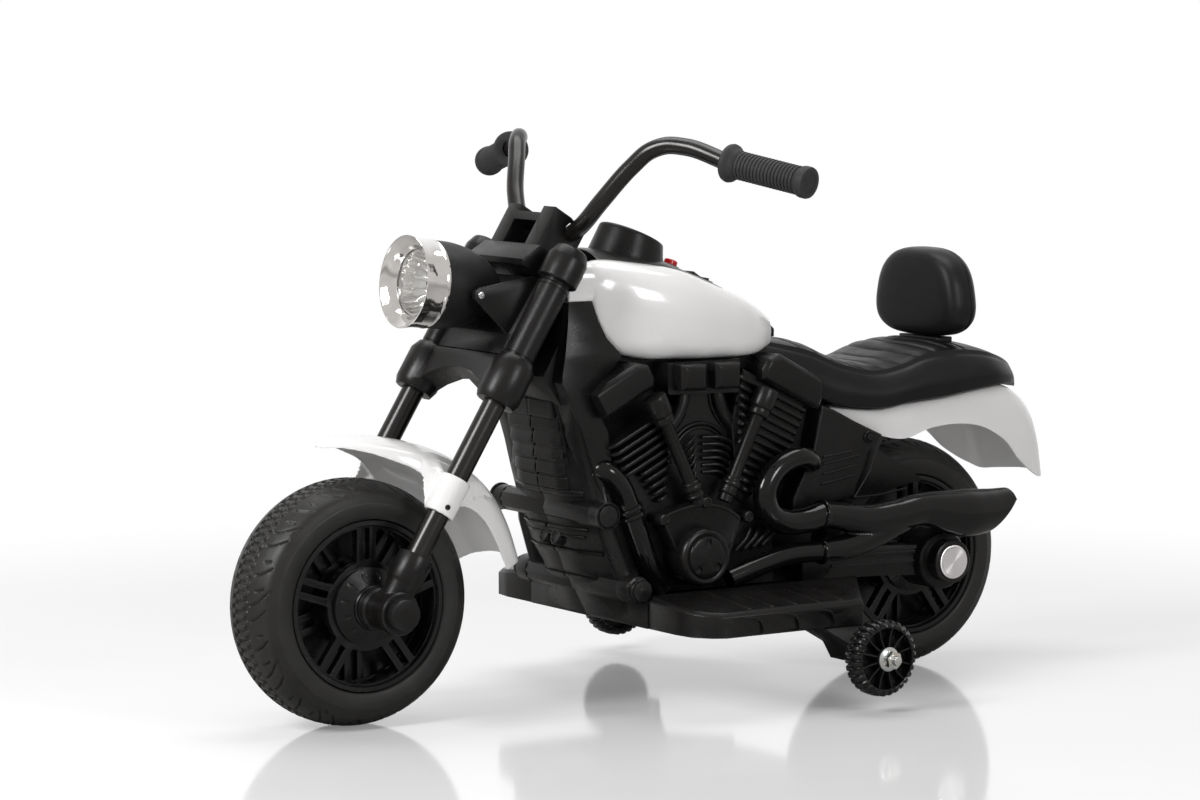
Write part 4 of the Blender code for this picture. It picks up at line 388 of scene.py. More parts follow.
def flipped(shape):
    """The shape on the bike's other side."""
    shape.data.transform(Matrix.Scale(-1, 4, ACROSS))
    shape.data.flip_normals()
    return shape


def moved(shape, offset):
    shape.data.transform(Matrix.Translation(Vector(offset) * MM))
    return shape


def melted(shape, voxel, rounds):
    """The shape rebuilt as one even skin, so that what meets in it flows together."""
    remesh = shape.modifiers.new("remesh", "REMESH")
    remesh.mode = "VOXEL"
    remesh.voxel_size = voxel * MM
    relax = shape.modifiers.new("relax", "SMOOTH")
    relax.factor = 0.5
    relax.iterations = rounds
    return settle(shape)


def softened(shape, width, segments=2):
    """The shape with its sharp edges rounded."""
    bevel = shape.modifiers.new("soften", "BEVEL")
    bevel.width = width * MM
    bevel.segments = segments
    bevel.limit_method = "ANGLE"
    bevel.angle_limit = radians(30)
    bevel.miter_outer = "MITER_ARC"
    return settle(shape)


def node_copy(name):
    """A copy of a solid's mesh without doubled points or needless edges, in the drawing's place."""
    work = bmesh.new()
    work.from_mesh(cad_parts[name].data)
    bmesh.ops.remove_doubles(work, verts=work.verts, dist=2e-5)
    bmesh.ops.dissolve_limit(work, angle_limit=radians(0.8), verts=work.verts, edges=work.edges)
    mesh = bpy.data.meshes.new("shape")
    work.to_mesh(mesh)
    work.free()
    return moved(held(mesh), (-AXLE_X, 0, 0))


def fork_point(up, ahead=0.0, across=0.0):
    return FRONT_AXLE + UP_FORK * up + AHEAD * ahead + ACROSS * across


def up_fork(profile):
    """A turned shape round the left fork tube."""
    return turned(profile, fork_point(0, 0, FORK_HALF_TRACK), UP_FORK)


# Materials

def feed(tree, made, **inputs):
    """Sets a node's inputs, or links those that another node's output feeds; _ stands for a space."""
    for name, value in inputs.items():
        socket = made.inputs[name.replace("_", " ")]
        if isinstance(value, bpy.types.NodeSocket):
            tree.links.new(value, socket)
        else:
            socket.default_value = value


def node(tree, kind, **settings):
    """A new node with its inputs and its own properties set."""
    made = tree.nodes.new(kind)
    for key, value in settings.items():
        if key.replace("_", " ") in made.inputs.keys():
            feed(tree, made, **{key: value})
        else:
            setattr(made, key, value)
    return made


def ramp(tree, value, low, high, to=(0.0, 1.0), **settings):
    """A value stretched from low and high to the range `to`."""
    return node(tree, "ShaderNodeMapRange", Value=value, From_Min=low, From_Max=high, To_Min=to[0],
        To_Max=to[1], **settings).outputs[0]


def noise(tree, scale, detail=4.0, roughness=0.6, to=(0.0, 1.0)):
    """A noise value stretched to the range `to`."""
    place = node(tree, "ShaderNodeTexCoord").outputs["Object"]
    made = node(tree, "ShaderNodeTexNoise", Scale=scale, Detail=detail, Roughness=roughness, Vector=place)
    return ramp(tree, made.outputs[0], 0.3, 0.7, to)


def bumps(tree, height, depth, strength=1.0, **settings):
    return node(tree, "ShaderNodeBump", Strength=strength, Distance=depth, Height=height,
        **settings).outputs[0]


def mix_colours(tree, share, first, second):
    mix = node(tree, "ShaderNodeMix", data_type="RGBA", Factor=share)
    for value, place in ((first, "A"), (second, "B")):
        socket = [s for s in mix.inputs if s.name == place and s.type == "RGBA"][0]
        if isinstance(value, (tuple, list)):
            socket.default_value = (*value, 1)
        else:
            tree.links.new(value, socket)
    return [s for s in mix.outputs if s.type == "RGBA"][0]


def plain(name):
    material = bpy.data.materials.new(name)
    material.use_nodes = True
    return material, material.node_tree, material.node_tree.nodes["Principled BSDF"]


def moulded(name, colour, roughness, specular=0.5, spread=0.25, grain=0.00003, grain_scale=1800, coat=0.0,
        edge_highlight=0.35, patches=0.06, orange=0.0):
    """Moulded plastic or rubber: fine grain, patchy shine, drifting tone, and a painted highlight on sharp
    edges.
    """
    material, tree, shader = plain(name)
    dark = tuple(c * (1 - spread) for c in colour)
    pale = tuple(min(1.0, c * (1 + spread)) for c in colour)
    tone = mix_colours(tree, noise(tree, 22, 5), dark, pale)
    # Painted highlight: sharp edges, found by pointiness, are mixed toward a paler colour as if lit
    edges = ramp(tree, node(tree, "ShaderNodeNewGeometry").outputs["Pointiness"], 0.515, 0.62, (0.0, edge_highlight))
    highlight_tone = tuple(min(1.0, c * 1.6 + 0.012) for c in colour)
    under = {"Normal": bumps(tree, noise(tree, 90, 2), orange)} if orange else {}
    feed(tree, shader, Base_Color=mix_colours(tree, edges, tone, highlight_tone),
        Roughness=noise(tree, 45, 6, 0.7, (roughness - patches, roughness + patches)),
        Specular_IOR_Level=specular, Coat_Weight=coat, Coat_Roughness=0.08,
        Normal=bumps(tree, noise(tree, grain_scale, 3), grain, **under))
    return material


def leathery(name, colour, roughness):
    """Plastic moulded to look like leather: pebbled cells with softer creases."""
    material = moulded(name, colour, roughness, specular=0.2, spread=0.2, grain=0.00002)
    tree = material.node_tree
    shader = tree.nodes["Principled BSDF"]
    cells = node(tree, "ShaderNodeTexVoronoi", feature="DISTANCE_TO_EDGE", Scale=520,
        Vector=node(tree, "ShaderNodeTexCoord").outputs["Object"])
    height = ramp(tree, cells.outputs["Distance"], 0.0, 0.22)
    fine = shader.inputs["Normal"].links[0].from_socket
    feed(tree, shader, Normal=bumps(tree, height, 0.00008, 0.55, Normal=fine))
    return material


def metal(name, colour, roughness, scratches=0.5, tint=None):
    """Bare or plated metal with fine scratches, smudges and a drift of tint."""
    material, tree, shader = plain(name)
    other = tint or tuple(c * 0.86 for c in colour)
    feed(tree, shader, Base_Color=mix_colours(tree, noise(tree, 60, 4), colour, other), Metallic=1.0,
        Roughness=noise(tree, 130, 6, 0.7, (roughness * 0.7, roughness * 1.35)),
        Normal=bumps(tree, noise(tree, 2600, 2), 0.00002, scratches))
    return material


def brushed(name, colour, roughness):
    """Metal turned round its own centre: fine rings, and a shine that fans out in wedges."""
    material, tree, shader = plain(name)
    middle = node(tree, "ShaderNodeVectorMath", operation="SUBTRACT")
    middle.inputs[1].default_value = (0.5, 0.5, 0.5)
    tree.links.new(node(tree, "ShaderNodeTexCoord").outputs["Generated"], middle.inputs[0])
    rings = node(tree, "ShaderNodeTexWave", wave_type="RINGS", rings_direction="Y", Scale=11.0,
        Distortion=0.8, Detail=3.0, Vector=middle.outputs[0])
    pale = tuple(min(1.0, c * 1.12) for c in colour)
    feed(tree, shader, Base_Color=mix_colours(tree, rings.outputs["Fac"], colour, pale), Metallic=1.0,
        Roughness=noise(tree, 20, to=(roughness - 0.02, roughness + 0.02)), Anisotropic=0.9,
        Tangent=node(tree, "ShaderNodeTangent", direction_type="RADIAL", axis="Y").outputs[0])
    return material


def glassy(name, colour, roughness):
    """Clear or tinted glass with a faint ripple."""
    material, tree, shader = plain(name)
    feed(tree, shader, Base_Color=mix_colours(tree, noise(tree, 30), colour,
        tuple(c * 0.97 for c in colour)), Roughness=noise(tree, 80, to=(roughness, roughness + 0.03)),
        Transmission_Weight=1.0, IOR=1.46, Normal=bumps(tree, noise(tree, 240, 1), 0.00004, 0.3))
    return material


BLACK = (0.0066, 0.006, 0.0058)
# Slot, maker, colour, roughness and settings of each finish
# In each finish's settings, the amount by which sharp edges turn paler is a painted highlight
FINISHES = {
    "satin_black": ("black_plastic", moulded, BLACK, 0.3, {"specular": 0.24, "spread": 0.2}),
    "matt_black": ("black_plastic", moulded, (0.012, 0.0115, 0.0114), 0.42, {"specular": 0.22}),
    "wheel_black": ("black_plastic", moulded, (0.0055, 0.0051, 0.005), 0.24, {"specular": 0.3}),
    "painted_tube": ("gloss_black", moulded, (0.007, 0.006, 0.0056), 0.24, {"specular": 0.42,
        "spread": 0.12, "grain": 0.000008, "edge_highlight": 0.1, "patches": 0.03, "orange": 0.00002}),
    "leather_black": ("black_plastic", leathery, (0.008, 0.0076, 0.0078), 0.38, {}),
    "gloss_black": ("gloss_black", moulded, (0.0042, 0.0038, 0.0037), 0.13, {
        "specular": 0.28, "spread": 0.12, "grain": 0.000004, "coat": 0.1, "edge_highlight": 0.1, "patches": 0.03,
        "orange": 0.00006}),
    "white_plastic": ("white_plastic", moulded, (0.835, 0.825, 0.82), 0.17, {
        "spread": 0.012, "grain": 0.000004, "coat": 0.4, "edge_highlight": 0.0, "patches": 0.03, "orange": 0.00005}),
    "tyre_black": ("tyre_black", moulded, (0.017, 0.0162, 0.0156), 0.42, {"specular": 0.3,
        "spread": 0.3, "grain": 0.00006, "grain_scale": 1300, "edge_highlight": 0.6, "patches": 0.08}),
    "grip_rubber": ("grip_rubber", moulded, (0.03, 0.029, 0.029), 0.6, {
        "specular": 0.22, "grain": 0.00006, "grain_scale": 1600, "edge_highlight": 0.5}),
    "chrome": ("chrome", metal, (0.93, 0.915, 0.9), 0.07, {"scratches": 0.15}),
    "brushed_steel": ("brushed_steel", brushed, (0.84, 0.83, 0.84), 0.3, {}),
    "zinc_steel": ("zinc_steel", metal, (0.6, 0.66, 0.7), 0.24, {"scratches": 0.6,
        "tint": (0.66, 0.62, 0.55)}),
    "red_plastic": ("red_plastic", moulded, (0.68, 0.015, 0.02), 0.28,
        {"spread": 0.06, "grain": 0.00001, "edge_highlight": 0.05}),
    "clear_lens": ("clear_lens", glassy, (0.97, 0.98, 0.98), 0.0, {}),
    "lamp_blue": ("lamp_blue", glassy, (0.42, 0.62, 0.98), 0.04, {}),
    "grey_case": ("grey_case", moulded, (0.16, 0.16, 0.17), 0.55, {"specular": 0.4, "spread": 0.12}),
}
MATERIALS = {name: (make(name, colour, roughness, **settings), slot) for name,
    (slot, make, colour, roughness, settings) in FINISHES.items()}


def piece(name, shape, finish, body, *nodes, sharp=35):
    """Names a finished shape, moves it to the frame and lets it ride on its body for its nodes."""
    mesh = moved(shape, (AXLE_X, 0, 0)).data
    mesh.shade_smooth()
    mesh.set_sharp_from_angle(angle=radians(sharp))
    mesh.name = shape.name = name
    material, slot = MATERIALS[finish]
    mesh.materials.clear()
    mesh.materials.append(material)
    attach(shape, body)
    if nodes:
        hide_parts(*nodes)
    return shape


def both(name, shape, finish, body, *nodes, sharp=35):
    """A left piece and its mirror image; a node named with no side stands for its two nodes."""
    right = flipped(copied(shape))
    piece(f"{name}_left", shape, finish, body, *(f"{n}_left" for n in nodes), sharp=sharp)
    piece(f"{name}_right", right, finish, body, *(f"{n}_right" for n in nodes), sharp=sharp)


# Wheels

def tyre_profile():
    """(radius, y) round one tyre: bead, side band, curved shoulder, tread, and back on the other side."""
    edge = TYRE_HALF_WIDTH
    band = [(BEAD_RADIUS, edge - 2), (BEAD_RADIUS + 0.8, edge - 0.8), (BEAD_RADIUS + 2.4, edge),
        (BAND_RADIUS - 2.2, edge), (BAND_RADIUS - 0.6, edge - 0.3), (BAND_RADIUS, edge - 1.2)]
    shoulder = curve([(BAND_RADIUS + 0.4, edge - 1.4), (WHEEL_RADIUS - 11.5, edge * 0.86),
        (WHEEL_RADIUS - 4.5, edge * 0.6), (WHEEL_RADIUS - 0.8, edge * 0.3), (WHEEL_RADIUS, 0.0)], 14)
    half = band + shoulder
    return half + [(r, -y) for r, y in reversed(half[:-1])]


def tread_depth(turn, y):
    """How deep the tread is cut at these angles and at this place across the tyre."""
    across = abs(y)
    depth = np.zeros(len(turn))
    if across < LUG_ROWS:
        row = 0.5 if across < LUG_ROWS / 2 else 0.0
        bend = 0.3 * abs(across / LUG_ROWS * 2 - (0.5 if row else 1.5))
        phase = (turn * CENTRE_LUGS / (2 * pi) + row + bend) % 1.0
        gap = np.clip((0.27 - np.abs(phase - 0.5)) / 0.09, 0, 1)
        depth = LUG_DEPTH * gap
        if abs(across - LUG_ROWS / 2) < 0.6 or across > LUG_ROWS - 1.1:
            depth = np.maximum(depth, 1.2)
    elif across < TYRE_HALF_WIDTH - 3.6:
        share = (across - LUG_ROWS) / (TYRE_HALF_WIDTH - 3.6 - LUG_ROWS)
        sector = (turn * SHOULDER_SECTORS / (2 * pi) + (0.5 if y < 0 else 0)) % 1.0
        length = 2 * pi * WHEEL_RADIUS / SHOULDER_SECTORS
        for k, (start, end, sweep) in enumerate(SHOULDER_GROOVES):
            if not start <= share <= end:
                continue
            middle = (k + 0.5) / len(SHOULDER_GROOVES) + sweep * (share - start) ** 1.8
            away = ((sector - middle + 0.5) % 1.0 - 0.5) * length
            fade = min(1.0, (share - start) / 0.04, (end - share) / 0.05)
            depth = np.maximum(depth, GROOVE_DEPTH * fade * np.clip((1.6 - np.abs(away)) / 0.6, 0, 1))
            if k == 0 and share > end - 0.12:
                hook = (away < 0) & (away > -12)
                depth = np.maximum(depth, GROOVE_DEPTH * hook)
    return depth


def tyre(name, centre, body):
    turn = 2 * pi * np.arange(TYRE_STEPS) / TYRE_STEPS
    rings = []
    for r, y in tyre_profile():
        size = r - (tread_depth(turn, y) if r > BAND_RADIUS + 1 else 0)
        rings.append(np.stack((centre.x + size * np.cos(turn), np.full(TYRE_STEPS, y),
            centre.z + size * np.sin(turn)), axis=1))
    piece(f"{name}_skin", skin(rings, closed=True), "tyre_black", body, name, sharp=50)


def polar(radius, turn):
    return (radius * cos(turn), radius * sin(turn))


def spoke_disc(outer, y0, y1, first):
    """Pairs of parallel spokes from a ring round the hub to the barrel."""
    pitch = 2 * pi / SPOKE_PAIRS
    near, far = SPOKE_RING_RADIUS, outer - 1.5
    disc = turned(((outer + 2, y0), (outer + 2, y1)), (0, 0, 0), steps=96)
    holes = []
    for pair in range(SPOKE_PAIRS):
        middle = first + pair * pitch
        half = [asin(SPOKE_INNER_EDGE / r) for r in (near + 2, far)]
        slot = [polar(near + 2, middle - half[0]), polar(near + 2, middle + half[0]),
            polar(far, middle + half[1]), polar(far, middle - half[1])]
        holes.append(prism(fillet(slot, 1.6, 4), y0 - 10, y1 + 10))
        middle += pitch / 2
        inner, outward = (pitch / 2 - asin(SPOKE_OUTER_EDGE / r) for r in (near, far))
        inside = [polar(near, middle + inner * (k / 4 - 1)) for k in range(9)]
        outside = [polar(far, middle + outward * (1 - k / 6)) for k in range(13)]
        sizes = [6] + [0.0] * 7 + [6, 1.6] + [0.0] * 11 + [1.6]
        holes.append(prism(fillet(inside + outside, sizes, 5), y0 - 10, y1 + 10))
    return softened(cut(disc, *holes), 1.2, 3)


def rim(name, centre, body):
    inside = RIM_OUTER - RIM_WALL
    half = TYRE_HALF_WIDTH - 2
    barrel = turned(((inside, -half + 3), (inside + 1.5, -half), (RIM_OUTER, -half + 0.4),
        (RIM_OUTER + 0.8, -half + 2), (RIM_OUTER + 0.8, half - 2), (RIM_OUTER, half - 0.4),
        (inside + 1.5, half), (inside, half - 3)), (0, 0, 0), steps=120, ring=True)

    def slots(turn, radius, distance):
        share = (radius - HUB_NOSE_RADIUS) / (HUB_CONE_RADIUS - HUB_NOSE_RADIUS)
        if not 0.22 < share < 0.78:
            return np.zeros(len(turn))
        width = 2.1 * sqrt(max(0.0, 1 - ((share - 0.5) / 0.28) ** 2))
        away = np.abs((turn * HUB_SLOTS / (2 * pi)) % 1.0 - 0.5) / HUB_SLOTS * 2 * pi * radius
        return -2.2 * np.clip((width - away) / 0.5, 0, 1)

    cone = [(HUB_NOSE_RADIUS + (HUB_CONE_RADIUS - HUB_NOSE_RADIUS) * (1 - k / 26),
        HUB_CONE_FACE + (HUB_NOSE_FACE - 4 - HUB_CONE_FACE) * k / 26) for k in range(27)]
    half_hub = [(HUB_CONE_RADIUS, 0.0), (HUB_CONE_RADIUS, HUB_CONE_FACE - 1)] + cone
    half_hub += [(HUB_NOSE_RADIUS - 0.4, HUB_NOSE_FACE - 1), (HUB_NOSE_RADIUS - 1.4, HUB_NOSE_FACE),
        (7, HUB_NOSE_FACE)]
    hub = turned([(r, -y) for r, y in reversed(half_hub[1:])] + half_hub, (0, 0, 0), steps=360,
        relief=slots)
    half_pitch = pi / SPOKE_PAIRS
    near, far = SPOKE_FACE - SPOKE_DEPTH, SPOKE_FACE
    web = turned(((inside + 2, -WEB_HALF_THICKNESS), (inside + 2, WEB_HALF_THICKNESS)), (0, 0, 0), steps=96)
    discs = [spoke_disc(inside, near, far, pi / 2), spoke_disc(inside, -far, -near, pi / 2 + half_pitch),
        spoke_disc(inside, -WEB_SPOKE_FACE, WEB_SPOKE_FACE, pi / 2 + half_pitch)]
    wheel = joined(barrel, hub, web, *discs)
    piece(f"{name}_moulding", moved(wheel, centre), "wheel_black", body, name, sharp=40)


# Front end

def fork():
    leg = up_fork(((6, -12), (13.5, -4), (16.3, 12), (17, 30), (LEG_RADIUS - 0.8, 33.5), (LEG_RADIUS, 35),
        (LEG_RADIUS, LEG_TOP - 1.6), (LEG_RADIUS - 0.5, LEG_TOP - 0.5), (LEG_RADIUS - 1.6, LEG_TOP),
        (FORK_TUBE_RADIUS + 0.6, LEG_TOP), (FORK_TUBE_RADIUS + 0.6, LEG_TOP - 4)))
    start, end = HUB_NOSE_FACE + 1, AXLE_BOSS_FACE
    boss = turned(((6, start), (AXLE_BOSS_RADIUS - 1, start), (AXLE_BOSS_RADIUS, start + 1),
        (AXLE_BOSS_RADIUS, start + 10), (AXLE_BOSS_RADIUS - 2.2, start + 12.5),
        (AXLE_BOSS_RADIUS - 2.2, end - 13), (AXLE_BOSS_RADIUS - 0.4, end - 10), (AXLE_BOSS_RADIUS, end - 8),
        (AXLE_BOSS_RADIUS, end - 1.6), (AXLE_BOSS_RADIUS - 1.4, end), (6, end)), FRONT_AXLE)
    both("fork_leg_moulding", joined(leg, boss), "satin_black", "steering", "fork_leg")
    both("fork_tube_bare", up_fork(((FORK_TUBE_RADIUS, 33), (FORK_TUBE_RADIUS, COLLAR_BORE_TOP - 0.5))),
        "painted_tube", "steering", "fork_tube")
    foot, shoulder, wide, dome = COLLAR_TOP + 0.3, DOME_BOTTOM, UPPER_RADIUS, DOME_RADIUS
    ring = [(wide, 0), (wide - 0.7, 0.4), (wide - 0.7, 1.4), (wide, 1.8)]
    profile = [(wide, foot)] + [(r, low + s) for low in (foot + 1.5, shoulder - 9.5) for r, s in ring]
    profile += [(wide, shoulder - 4.5), (wide - 2, shoulder - 3), (wide - 2, shoulder + 0.2),
        (dome - 1.2, shoulder + 0.2), (dome, shoulder + 1.4), (dome + 0.2, shoulder + 12),
        (dome, DOME_TOP - 13.5), (dome - 0.6, DOME_TOP - 11.5), (dome * 0.83, DOME_TOP - 3.5),
        (dome * 0.76, DOME_TOP - 1.4), (dome * 0.6, DOME_TOP)]
    both("fork_cover_moulding", up_fork(profile), "satin_black", "steering", "fork_cover")
    start = AXLE_BOSS_FACE + 0.3
    end = start + AXLE_CAP_LENGTH
    radius = AXLE_CAP_RADIUS
    cap = turned(((radius, start), (radius, end - 2.2), (radius - 0.6, end - 0.6), (radius - 2.4, end),
        (4, end)), FRONT_AXLE)
    both("front_axle_cap_moulding", cap, "satin_black", "steering", "front_axle_cap")


def handlebar():
    root = fork_point(*BAR_ROOT)
    inner, outer = Vector(GRIP_START), Vector(GRIP_END)
    run = (outer - inner).normalized()
    left = [root + ACROSS * (RISER_OUTER + 3)] + [Vector(p) for p in BAR_BENDS] + [inner, outer - run * 12]
    points = [Vector((p.x, -p.y, p.z)) for p in reversed(left)] + left

    def channelled(turn):
        away = np.abs((turn + pi) % (2 * pi) - pi)
        return 1 - 0.3 * np.clip((0.36 - away) / 0.1, 0, 1)

    bar = tube(smooth(points, 9), BAR_RADIUS, 40, hint=(-0.4, 0, -1), section=channelled)
    piece("handlebar_tube", bar, "painted_tube", "steering", "handlebar")

    span = (outer - inner).length
    profile = [(BAR_RADIUS + 0.6, 4), (BAR_RADIUS + 1.2, 0.6), (17, 0.0), (19.8, 1.2), (20.5, 3.6),
        (19.8, 6.2), (17.6, 8.8), (16, 11.8), (15.3, 15)]
    first, last = 16.5, span - 14
    pitch = (last - first) / GRIP_RIBS
    for k in range(GRIP_RIBS):
        start = first + k * pitch
        profile += [(GRIP_RADIUS, start), (GRIP_RADIUS, start + 0.18 * pitch),
            (GRIP_RADIUS + 1.1, start + 0.32 * pitch), (GRIP_RADIUS + 1.4, start + 0.58 * pitch),
            (GRIP_RADIUS + 1.1, start + 0.84 * pitch)]
    profile += [(GRIP_RADIUS, last), (GRIP_RADIUS + 0.4, last + 2), (16.3, last + 4.2), (16.8, last + 6.4),
        (16.8, span - 2.6), (16.2, span - 0.6), (14.8, span), (11.2, span), (10.6, span - 0.8),
        (7, span - 1)]
    both("grip_sleeve", turned(profile, inner, run, 64), "grip_rubber", "steering", "grip")


def headlight():
    centre = Vector((LAMP_FRONT[0], 0, LAMP_FRONT[1]))
    forward = Vector((cos(LAMP_TILT), 0, sin(LAMP_TILT)))
    outside = curve([(LAMP_RADIUS, -30.5), (LAMP_RADIUS * 0.985, -52), (LAMP_RADIUS * 0.87, -75),
        (LAMP_RADIUS * 0.63, -98), (LAMP_RADIUS * 0.33, -111.5), (3, -LAMP_LENGTH)], 8)
    inside = [(3, -100), (LAMP_RADIUS * 0.55, -88), (LAMP_RADIUS - 3, -50), (LAMP_RADIUS - 3, -31.5),
        (LAMP_RADIUS - 0.8, -30)]
    bowl = turned(outside + inside, centre, forward, 96, ring=True)
    piece("headlight_bowl_moulding", bowl, "matt_black", "steering", "headlight_bowl")
    rim_profile = [(LAMP_RADIUS - 0.4, -30.2), (LAMP_RADIUS + 0.6, -29.6), (LAMP_RADIUS + 0.9, -28),
        (LAMP_RADIUS + 0.3, -26.8), (LAMP_RADIUS + 0.2, -24.5)]
    rim_profile += curve([(LAMP_RADIUS + 0.3, -23.5), (BEZEL_RADIUS - 2, -12), (BEZEL_RADIUS - 0.2, -1.4)],
        6)
    rim_profile += [(BEZEL_RADIUS, -0.6), (BEZEL_RADIUS - 0.4, 0), (BEZEL_RADIUS - 1.2, -0.2)]
    rim_profile += curve([(BEZEL_RADIUS - 1.8, -1), (40.5, -6.2), (LENS_RADIUS + 1.2, -12.4)], 6)
    rim_profile += [(LENS_RADIUS + 0.4, -13.2), (LENS_RADIUS + 0.3, -16), (LENS_RADIUS - 2.2, -16)]
    rim_profile += curve([(LENS_RADIUS - 2.4, -16.5), (28.5, -30), (19, -42), (6.8, -47.8)], 6)
    rim_profile += [(6.8, -51), (29, -40), (LAMP_RADIUS - 3.4, -30.2)]

    def facets(turn, radius, distance):
        if distance > -17 or radius > LENS_RADIUS - 2 or radius < 7.5:
            return np.zeros(len(turn))
        return -0.7 * np.abs(np.sin(turn * 12))

    reflector = turned(rim_profile, centre, forward, 192, ring=True, relief=facets)
    piece("headlight_chrome", reflector, "chrome", "steering", "headlight_reflector", sharp=28)
    lens = turned([(LENS_RADIUS, -15.7), (LENS_RADIUS, -14), (LENS_RADIUS * 0.94, -13.3),
        (LENS_RADIUS * 0.8, -12.2), (LENS_RADIUS * 0.55, -11), (LENS_RADIUS * 0.28, -10.4), (0.0, -10.2),
        (0.0, -12.2), (LENS_RADIUS * 0.55, -13), (LENS_RADIUS * 0.8, -14.1), (LENS_RADIUS * 0.94, -15.2)],
        centre, forward, 96, ring=True)
    piece("headlight_lens_glass", lens, "clear_lens", "steering", "headlight_lens")
    bulb = turned([(5.8, -60), (6.2, -47), (6.2, -38.5), (5.8, -34.5), (4.5, -31.2), (2.4, -29.5),
        (0.0, -29)], centre, forward, 40)
    piece("headlight_bulb_glass", bulb, "lamp_blue", "steering", "headlight_bulb")


def screw_head(centre, out, radius, height, recess=True):
    """A pan head with a cross recess."""
    centre, out = Vector(centre), Vector(out).normalized()
    profile = [(radius, 0), (radius, height * 0.35), (radius * 0.92, height * 0.72),
        (radius * 0.7, height * 0.95), (radius * 0.3, height), (0.0, height)]
    head = turned(profile, centre, out, 32)
    if not recess:
        return head
    side = out.orthogonal().normalized()
    other = out.cross(side)
    bars = []
    for a, b in ((side, other), (other, side)):
        arm, thin = a * radius * 0.62, b * radius * 0.15
        low, high = centre + out * height * 0.35, centre + out * height * 1.5
        bars.append(skin([[level + arm + thin, level + arm - thin, level - arm - thin, level - arm + thin]
            for level in (low, high)]))
    return cut(head, *bars)


def lamp_screws():
    place = (LAMP_SCREW[0], EAR_FACE - 0.3, LAMP_SCREW[1])
    both("lamp_screw", screw_head(place, ACROSS, 4.2, 2.2), "zinc_steel", "steering")


# Fender stations from tip to tail: ridge x, ridge z, half width, side depth
FENDER_STATIONS = (
    (749, 296, 5, 3), (737, 301, 24, 6), (713, 303, 40, 12),
    (686, 302, 52, 20), (655, 297.5, 61, 29), (625, 288.5, 66, 44),
    (600, 277, 66, 50), (575, 260, 64, 42), (552, 237, 60, 38),
    (533, 206, 55, 35), (518, 167, 50, 30),
)
FENDER_WALL = 2.8
SLEEVE_RADIUS = 16.8
SLEEVE_BORE = FORK_TUBE_RADIUS + 0.4
SLEEVE_BOTTOM = 113.5
SLEEVE_TOP = 155.5
# Where an arm leaves the saddle, as (station, share), and where it meets the sleeve, as (up, ahead)
ARM_EDGE = ((3.7, 0.985), (3.9, 0.86), (4.5, 0.8), (5.3, 0.82), (6.1, 0.9), (6.2, 0.985), (5.2, 0.985))
ARM_CLASP = ((SLEEVE_BOTTOM, 15), (SLEEVE_TOP - 12, 15), (SLEEVE_TOP, 10), (SLEEVE_TOP, -4),
    (SLEEVE_TOP, -12), (SLEEVE_BOTTOM + 10, -13.5), (SLEEVE_BOTTOM, 0))


def saddle_point(station, share, side):
    """A point on the fender's skin: station counts FENDER_STATIONS, share goes from ridge to edge."""
    at = range(len(FENDER_STATIONS))
    x, z, half, depth = (float(np.interp(station, at, column)) for column in zip(*FENDER_STATIONS))
    x0, x1, z0, z1 = (float(np.interp(station + shift, at, [row[k] for row in FENDER_STATIONS]))
        for k in (0, 1) for shift in (-0.5, 0.5))
    run = Vector((x1 - x0, 0, z1 - z0)).normalized()
    down = Vector((abs(run.z) * (-1 if run.x * run.z > 0 else 1), 0, -abs(run.x)))
    fall = float(np.interp(share, (0, 0.62, 0.93, 1), (0, 0.13, 0.5, 1)))
    return Vector((x, side * share * half, z)) + down * (fall * depth) + down * 1.2


def fender_saddle():
    """The curved shell over the tyre, a flattened arch at each station."""
    rings = []
    for i, (x, z, half, depth) in enumerate(FENDER_STATIONS):
        before = FENDER_STATIONS[max(i - 1, 0)]
        after = FENDER_STATIONS[min(i + 1, len(FENDER_STATIONS) - 1)]
        run = Vector((after[0] - before[0], 0, after[1] - before[1])).normalized()
        down = Vector((run.z, 0, -run.x))
        down = -down if down.z > 0 else down
        wall = min(FENDER_WALL, 0.6 * depth, 0.5 * half)
        ridge = Vector((x, 0, z))
        outer = [(-1, 1), (-0.93, 0.5), (-0.62, 0.13), (0, 0), (0.62, 0.13), (0.93, 0.5), (1, 1)]
        outside = smooth([tuple(ridge + ACROSS * (a * half) + down * (b * depth)) for a, b in outer], 5)
        inside = smooth([tuple(ridge + ACROSS * (a * (half - wall)) + down * (wall + b * (depth - wall)))
            for a, b in reversed(outer)], 5)
        ends = [tuple(ridge + ACROSS * (half - 0.5 * wall) + down * (depth + 0.35 * wall)),
            tuple(ridge - ACROSS * (half - 0.5 * wall) + down * (depth + 0.35 * wall))]
        rings.append(np.vstack([outside, [ends[0]], inside, [ends[1]]]))
    return skin(smooth(rings, 6))


def fender_arm(side):
    """The arm that leaves the saddle's side and flattens toward the sleeve."""
    edge = [saddle_point(station, share, side) for station, share in ARM_EDGE]
    clasp = [fork_point(up, ahead, side * (FORK_HALF_TRACK - 4)) for up, ahead in ARM_CLASP]
    rings = []
    for share in np.arange(9) / 8:
        level = share * share * (3 - 2 * share)
        rings.append([a + Vector(((b - a).x * level, (b - a).y * share, (b - a).z * level))
            for a, b in zip(edge, clasp)])
    return skin(rings if side > 0 else rings[::-1])


def fender_sleeve(side):
    """The sleeve that clasps a fork tube."""
    rounded = 1.2
    return turned([(SLEEVE_BORE, SLEEVE_BOTTOM), (SLEEVE_RADIUS - rounded, SLEEVE_BOTTOM),
        (SLEEVE_RADIUS, SLEEVE_BOTTOM + rounded), (SLEEVE_RADIUS, SLEEVE_TOP - rounded),
        (SLEEVE_RADIUS - rounded, SLEEVE_TOP), (SLEEVE_BORE, SLEEVE_TOP)],
        fork_point(0, 0, side * FORK_HALF_TRACK), UP_FORK, 64, ring=True)


